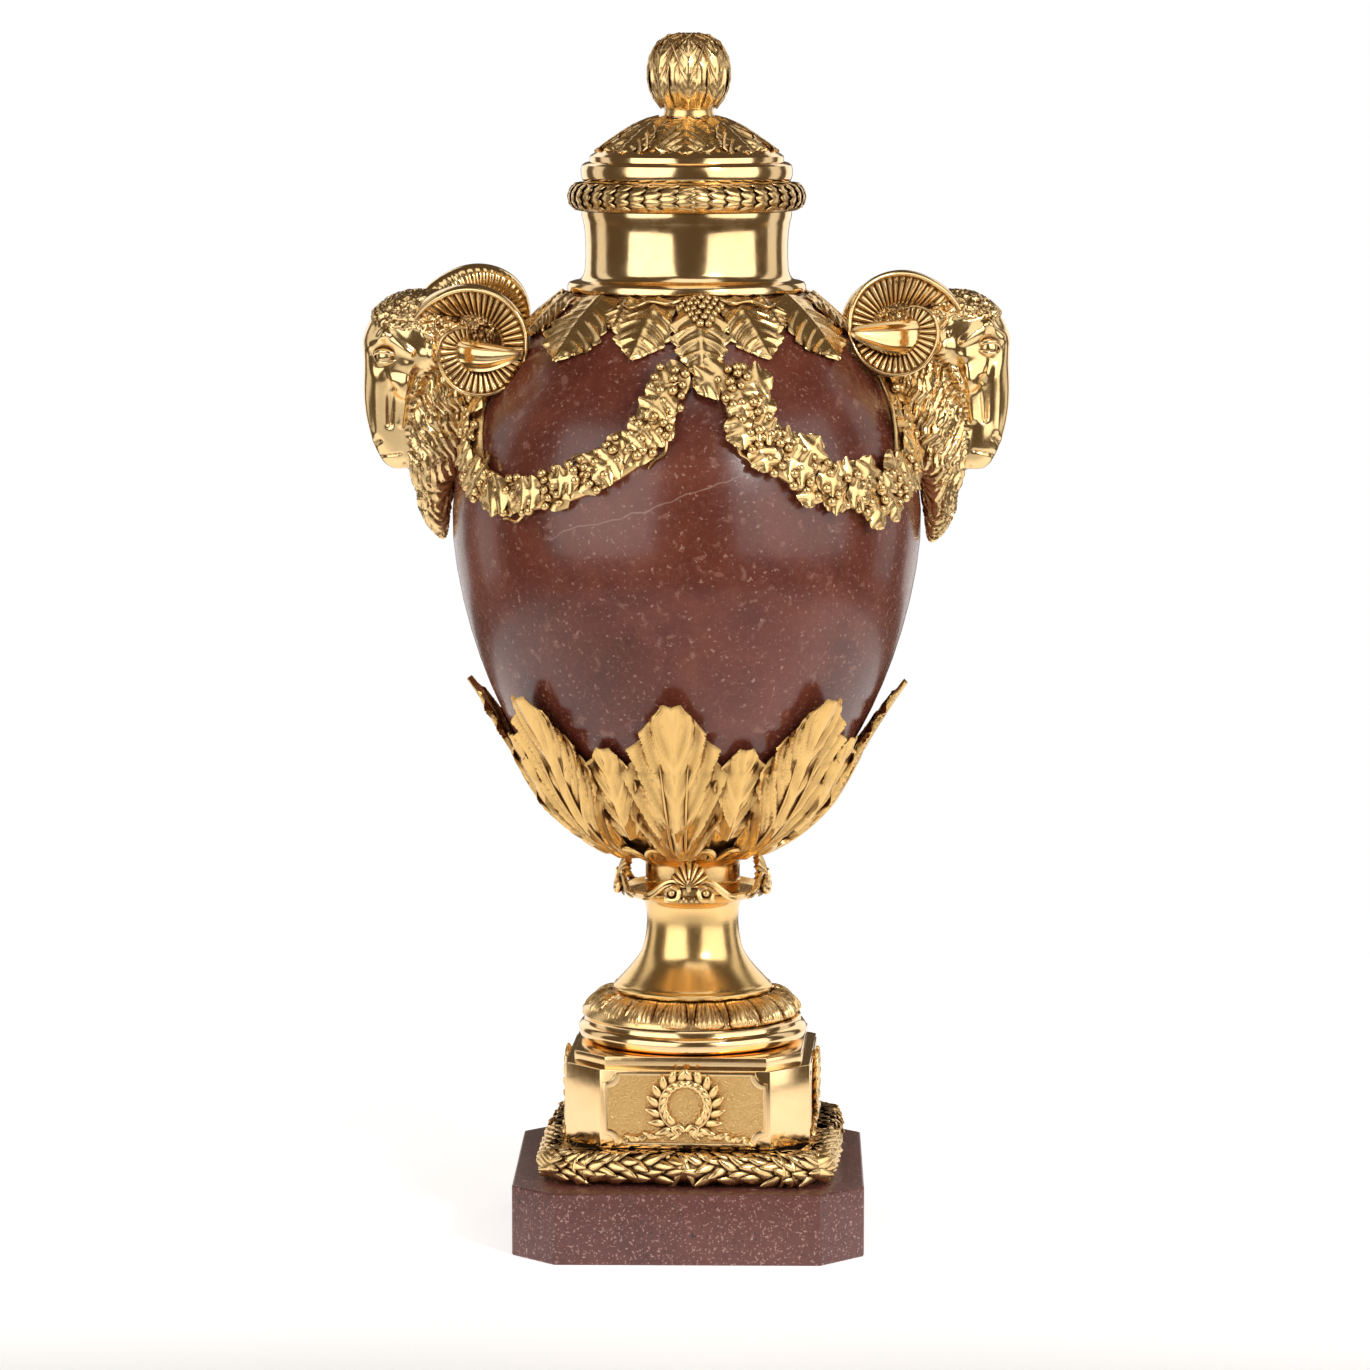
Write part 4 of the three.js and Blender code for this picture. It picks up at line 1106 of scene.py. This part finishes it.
# middles and half sizes of the brow, cheek, jaw, nape and throat
MUSCLES = [((146, 11.5, 455.2), (7, 8.5, 4.6)), ((139, 14.5, 432), (11, 6.2, 9)), ((127, 14.5, 446), (10, 9, 9)),
           ((118, 12, 455), (12, 9, 9)), ((124, 10, 412), (12, 9, 16))]
RAM_VOXEL = 0.8


def loft(bm, sections, sides, rows, pinch, square=1):
    """A closed form through level sections, narrower in front by pinch, squarer the lower square is."""
    def place(across, along):
        height, middle, depth, width = blended(sections, along)
        angle = 2 * math.pi * across
        out, beside = (math.copysign(abs(part) ** square, part) for part in (math.cos(angle), math.sin(angle)))
        return Vector((middle + out * depth, beside * width * (1 - pinch * max(0, out) ** 1.5), height))

    made = sheet(bm, sides, rows, place)
    bmesh.ops.remove_doubles(bm, verts=made, dist=0.01)
    ends = [edge for edge in bm.edges if edge.is_boundary]
    bmesh.ops.holes_fill(bm, edges=ends, sides=0)


def solid_of(bm, voxel):
    """Fuses overlapping closed forms into one even skin."""
    bmesh.ops.recalc_face_normals(bm, faces=bm.faces)
    mesh = bpy.data.meshes.new("blank")
    bm.to_mesh(mesh)
    bm.free()
    blank = bpy.data.objects.new("blank", mesh)
    bpy.context.scene.collection.objects.link(blank)
    fuse = blank.modifiers.new("fuse", "REMESH")
    fuse.mode = "VOXEL"
    fuse.voxel_size = voxel
    fused = blank.evaluated_get(bpy.context.evaluated_depsgraph_get())
    skin = bmesh.new()
    skin.from_mesh(fused.to_mesh())
    bpy.data.objects.remove(blank)
    bpy.data.meshes.remove(mesh)
    return skin


def near(point, x, y, z, reach):
    """How close a point is to a spot on either side of the head, from 0 to 1."""
    away = ((point.x - x) ** 2 + (abs(point.y) - y) ** 2 + (point.z - z) ** 2) / reach ** 2
    return math.exp(-away) if away < 9 else 0


def trail(point, start, end, reach):
    """How close a point is, seen from beside the head, to a line drawn on it; narrower at its end."""
    spot, start = Vector((point.x, point.z)), Vector(start)
    line = Vector(end) - start
    t = min(1, max(0, (spot - start).dot(line) / line.length_squared))
    away = (spot - start - line * t).length_squared / (reach * (1.15 - 0.6 * t)) ** 2
    return math.exp(-away) * smoothly(2, 6, abs(point.y)) if away < 9 else 0


HAIRLINE = [(380, 137.5), (387, 137.5), (405, 139.5), (426, 136.5), (441, 126.5), (461, 131), (480, 131)]


def chased(point):
    """How far the chaser's work stands off the plain casting at a point of the head."""
    line = along_table(HAIRLINE, point.z)
    crest = 458.5 + 0.06 * (point.x - 140) + 2.2 * smoothly(12, 2, abs(point.y))
    wool = smoothly(crest - 0.8, crest + 0.8, point.z)
    hair = max(smoothly(line + 0.9, line - 0.9, point.x) * (1 - wool), 0)
    skin = max(0, 1 - wool - hair)
    lift = 0.0
    if wool > 0:
        curl = noise.voronoi(point * 0.27)[0][0]
        lift += wool * (0.9 + 0.75 * math.cos(10.5 * curl) + 0.35 * noise.noise(point * 0.9))
    if hair > 0:
        angle = abs(math.atan2(point.y, point.x - 104)) + 0.012 * max(0, point.z - 388)
        wave = 0.035 * math.sin(point.z * 0.3 + 5 * noise.noise(point * 0.06))
        wave += 0.07 * noise.noise(point * 0.07)
        strand = abs(math.sin(26 * (angle + wave) + 0.6 * noise.noise(point * 0.3)))
        thin = math.cos(128 * (angle + wave * 0.9))
        lock = math.sin(point.z * 0.3 + 9 * noise.noise(Vector((angle * 2.5, point.z * 0.03, 1))))
        lift += hair * (1.25 * strand - 0.35 + 0.3 * thin + 0.45 * lock)
    if skin > 0:
        lift -= skin * 2.4 * near(point, EYE[0] + 1, EYE[1] + 1.2, EYE[2] - 0.5, 7.2)
        lift += skin * 1.9 * trail(point, (155, 449.5), (148, 455.5), 2.9)
        lift += skin * 1.9 * trail(point, (148, 455.5), (136, 447), 3.2)
        lift -= skin * 1.7 * trail(point, (151.5, 437.5), (147, 427), 2.5)
        lift -= skin * 1.9 * trail(point, (146.5, 428), (147.5, 409), 2.6)
        lift += skin * 1.3 * trail(point, (137, 440), (141.5, 409), 3.0)
        lift -= skin * 1.7 * trail(point, (133.5, 434), (137, 403), 2.9)
        lift += skin * 0.8 * trail(point, (153, 436), (153.5, 404), 3.2)
        lift -= skin * 1.5 * trail(point, (157.4, 397.5), (152, 400), 1.2)
        lift -= skin * 1.0 * trail(point, (155, 391.4), (142, 393.6), 0.8)
    return lift


def horn_spot(winding):
    """Middle of the horn's band at a turn of its winding, with its half width."""
    for i in range(len(HORN) - 1):
        if winding <= HORN[i + 1][0] or i == len(HORN) - 2:
            share = (i + (winding - HORN[i][0]) / (HORN[i + 1][0] - HORN[i][0])) / (len(HORN) - 1)
            break
    _, reach, beside, half = blended(HORN, share)
    angle = math.radians(winding)
    return Vector((HORN_MIDDLE[0] + 0.94 * reach * math.cos(angle), beside,
                   HORN_MIDDLE[1] + 1.04 * reach * math.sin(angle))), half


def curl_horn(bm, side):
    """One horn: a ridged face with a smooth bead along its outer edge, tapering to a curled tip."""
    rows, sides = 270, 24
    first, last = HORN[0][0] - 6, HORN[-1][0]

    def place(across, along):
        winding = first + (last - first) * along
        middle, half = horn_spot(min(max(winding, HORN[0][0]), last))
        further, back = horn_spot(min(winding + 2, last))[0], horn_spot(max(winding - 2, HORN[0][0]))[0]
        ahead = (further - back).normalized()
        angle = math.radians(winding)
        outward = Vector((math.cos(angle), 0, math.sin(angle)))
        outward = (outward - ahead * outward.dot(ahead)).normalized()
        beside = ahead.cross(outward)
        if beside.y < 0:
            beside = -beside
        radial, lateral = blended(HORN_SECTION, across)
        end = min(1, (1 - along) * 60 + 0.05)
        face = smoothly(0.28, 0.36, across) * smoothly(0.64, 0.56, across)
        ridge = (abs(math.sin(math.pi * HORN_RIDGES * along)) ** 0.8 - 0.55) * (0.9 + 0.1 * half)
        thick = 0.9 * half * lateral + face * ridge
        rear = smoothly(0.66, 0.74, across) * smoothly(0.97, 0.9, across)
        thick += 0.3 * rear * math.cos(2 * math.pi * HORN_RIDGES * along)
        spot = middle + outward * (half * radial * end) + beside * (thick * end)
        return Vector((spot.x, side * spot.y, spot.z))

    small = bmesh.new()
    made = sheet(small, sides, rows, place)
    bmesh.ops.remove_doubles(small, verts=made, dist=0.01)
    bmesh.ops.holes_fill(small, edges=[edge for edge in small.edges if edge.is_boundary], sides=0)
    joined(bm, small)


def point_ear(bm, side):
    """A pointed, hollow ear that lies back inside the horn's curl, its edges rolled."""
    route = [(122, 17, 450), (113, 31, 449), (100, 38.5, 448.5), (90, 41.5, 449.5), (80.5, 42, 451)]

    def place(across, along):
        x, y, z = blended(route, along)
        width = 8.2 * math.sin(math.pi * min(1, along ** 0.75 * 0.93 + 0.07)) ** 0.7 * (1 - 0.1 * along)
        turn = math.radians(-118 + 236 * across)
        hollow = math.cos(turn)
        fold = 0.5 * math.cos(6 * turn) * math.sin(math.pi * along)
        y += 1.5 - 4.6 * hollow * math.sin(math.pi * along) ** 0.5 + fold
        return Vector((x, side * y, z + width * math.sin(turn)))

    small = bmesh.new()
    made = sheet(small, 24, 40, place)
    bmesh.ops.recalc_face_normals(small, faces=small.faces)
    bmesh.ops.solidify(small, geom=list({face for vert in made for face in vert.link_faces}), thickness=1.3)
    joined(bm, small)


def set_eye(bm, side):
    """An eyeball in its two lids, under a fold of skin."""
    x, y, z = EYE
    ball = bmesh.new()
    made = bmesh.ops.create_uvsphere(ball, u_segments=24, v_segments=16, radius=5.0)["verts"]
    for vert in made:
        vert.co = Vector((x + vert.co.x, side * (y + vert.co.y * 0.9), z + vert.co.z))
    joined(bm, ball)
    out = Vector((0.35, side, 0.1)).normalized()
    ahead = Vector((0.94, -0.33 * side, 0))
    for rise, thick, reach in ((1, 1.3, 6.0), (-1, 1.0, 6.0), (1, 1.1, 8.6)):
        line = []
        for i in range(9):
            angle = math.pi * (i / 8)
            lay = reach * math.cos(angle)
            high = rise * math.sin(angle) * reach * (0.5 if rise > 0 else 0.42) * (1.7 if reach > 7 else 1)
            depth = 3.4 - 2.6 * (lay / reach) ** 2 - (1.4 if reach > 7 else 0)
            line.append(Vector((x, side * y, z - 0.6)) + ahead * lay + Vector((0, 0, high)) + out * depth)
        rod(bm, line, [thick * 0.5, thick, thick * 1.1, thick, thick * 0.5], up=out)


def ram_parts():
    """The head and neck fused and chased, and the horns, ears and eyes, facing along +X."""
    blank = bmesh.new()
    loft(blank, FACE, 48, 60, 0.3, 0.62)
    loft(blank, NECK_HAIR, 36, 60, 0.12)
    for side in (1, -1):
        for (x, y, z), size in MUSCLES:
            shape = Matrix.Translation((x, side * y, z)) @ Matrix.Diagonal((*size, 1))
            bmesh.ops.create_uvsphere(blank, u_segments=20, v_segments=14, radius=1, matrix=shape)
    head = solid_of(blank, RAM_VOXEL)
    for _ in range(12):
        bmesh.ops.smooth_vert(head, verts=head.verts, factor=0.5, use_axis_x=True, use_axis_y=True,
                              use_axis_z=True)
    head.normal_update()
    moves = [(vert, vert.co + vert.normal * chased(vert.co)) for vert in head.verts]
    for vert, place in moves:
        vert.co = place
    for side in (1, -1):
        curl_horn(head, side)
        point_ear(head, side)
        set_eye(head, side)
    return head


# The rams' painted shade: 0.6 with a short occlusion reach, in the folds of face, wool, hair and horns.
ram_gilt = gilding("ram_gilding", 0.16, 0.6, bright=(0.95, 0.69, 0.35), reach=0.0026)
pattern = bpy.data.meshes.new("ram_pattern")
both = ram_parts()
both.to_mesh(pattern)
both.free()
for name, turn, roll in (("ram_head_right", RAM_TURN, -5), ("ram_head_left", RAM_TURN + 180, -8)):
    ram = bmesh.new()
    ram.from_mesh(pattern)
    pivot = Matrix.Translation((0, 0, 435))
    lean = pivot @ Matrix.Rotation(math.radians(roll), 4, "X") @ pivot.inverted()
    bmesh.ops.transform(ram, matrix=Matrix.Rotation(math.radians(turn), 4, "Z") @ lean, verts=ram.verts)
    clear_of_marble(ram, 0.25, high=471)
    install(ram, name + "_bronze", ram_gilt, "gilt_bronze", name, sharp=60)
bpy.data.meshes.remove(pattern)
bpy.data.meshes.remove(SCRAP)

# Studio: a white room with two wide soft boxes in front, a lamp above, a small key light and weak
# lamps behind. The floor is pale, and the camera has a long lens and looks a little down.
CAMERA = {"away": 2.650, "height": 0.604, "azimuth": 1.0, "tilt": 7.05, "yaw": 0.019, "lens": 140.3}
AIM = Vector((0, 0, 0.33))
WARM = (1.0, 0.72, 0.45, 1)
# azimuth from the camera's side, distance, height, width, height of the lamp itself, watts
LAMPS = {"left_box": (-41, 1.9, 0.75, 2.0, 1.7, 19.5), "right_box": (54, 1.9, 0.75, 2.3, 1.7, 19.5),
         "top_box": (12, 0.9, 2.2, 1.5, 1.2, 6.5), "key": (34, 2.4, 1.5, 0.16, 0.16, 14),
         "left_side": (-112, 1.8, 0.7, 0.6, 1.8, 2.6), "right_side": (114, 1.8, 0.7, 0.6, 1.8, 2.6),
         "back_left": (-152, 1.8, 0.7, 0.9, 1.6, 5), "back_right": (152, 1.8, 0.7, 0.9, 1.6, 5)}


def pale_floor():
    """Matt white, and lit from within behind the urn, so that it ends without an edge there."""
    material, tree, shader, place = new_material("pale_floor")
    shader.inputs["Base Color"].default_value = (0.9, 0.9, 0.9, 1)
    shader.inputs["Roughness"].default_value = 0.6
    shader.inputs["Emission Color"].default_value = (1, 1, 1, 1)
    moved, parts = put(tree, "Mapping"), put(tree, "SeparateXYZ")
    moved.inputs["Location"].default_value = (0, 0.75, 0)
    tree.links.new(place, moved.inputs["Vector"])
    tree.links.new(moved.outputs["Vector"], parts.inputs[0])
    glow = graded(tree, parts.outputs["Y"], (0.3, 0.0), (0.62, 0.62))
    tree.links.new(glow, shader.inputs["Emission Strength"])
    return material


ground = bmesh.new()
bmesh.ops.create_circle(ground, cap_ends=True, segments=96, radius=0.9)
mesh = bpy.data.meshes.new("floor")
ground.to_mesh(mesh)
ground.free()
mesh.materials.append(pale_floor())
floor = bpy.data.objects.new("floor", mesh)
bpy.context.scene.collection.objects.link(floor)

world = bpy.data.worlds.new("studio")
world.use_nodes = True
bpy.context.scene.world = world
sky = world.node_tree
for node in list(sky.nodes):
    sky.nodes.remove(node)
seen = put(sky, "Background", Color=(1, 1, 1, 1), Strength=1.0)
around_it = put(sky, "Background", Color=WARM, Strength=0.1)
path, pick, end = put(sky, "LightPath"), put(sky, "MixShader"), put(sky, "OutputWorld")
sky.links.new(path.outputs["Is Camera Ray"], pick.inputs[0])
sky.links.new(around_it.outputs[0], pick.inputs[1])
sky.links.new(seen.outputs[0], pick.inputs[2])
sky.links.new(pick.outputs[0], end.inputs[0])

for name, (azimuth, away, height, wide, tall, power) in LAMPS.items():
    light = bpy.data.lights.new(name, "AREA")
    light.shape = "RECTANGLE"
    light.size, light.size_y = wide, tall
    light.energy = power
    lamp = bpy.data.objects.new(name, light)
    bpy.context.scene.collection.objects.link(lamp)
    lamp.location = around(azimuth, away, height)
    lamp.rotation_euler = (AIM - lamp.location).to_track_quat("-Z", "Y").to_euler()

lens = bpy.data.cameras.new("camera")
lens.lens = CAMERA["lens"]
lens.sensor_width = 36
camera = bpy.data.objects.new("camera", lens)
bpy.context.scene.collection.objects.link(camera)
camera.location = around(CAMERA["azimuth"], CAMERA["away"], CAMERA["height"])
camera.rotation_euler = (math.radians(90 - CAMERA["tilt"]), 0, math.radians(CAMERA["azimuth"] + CAMERA["yaw"]))
bpy.context.scene.camera = camera
bpy.context.scene.view_settings.view_transform = "Standard"
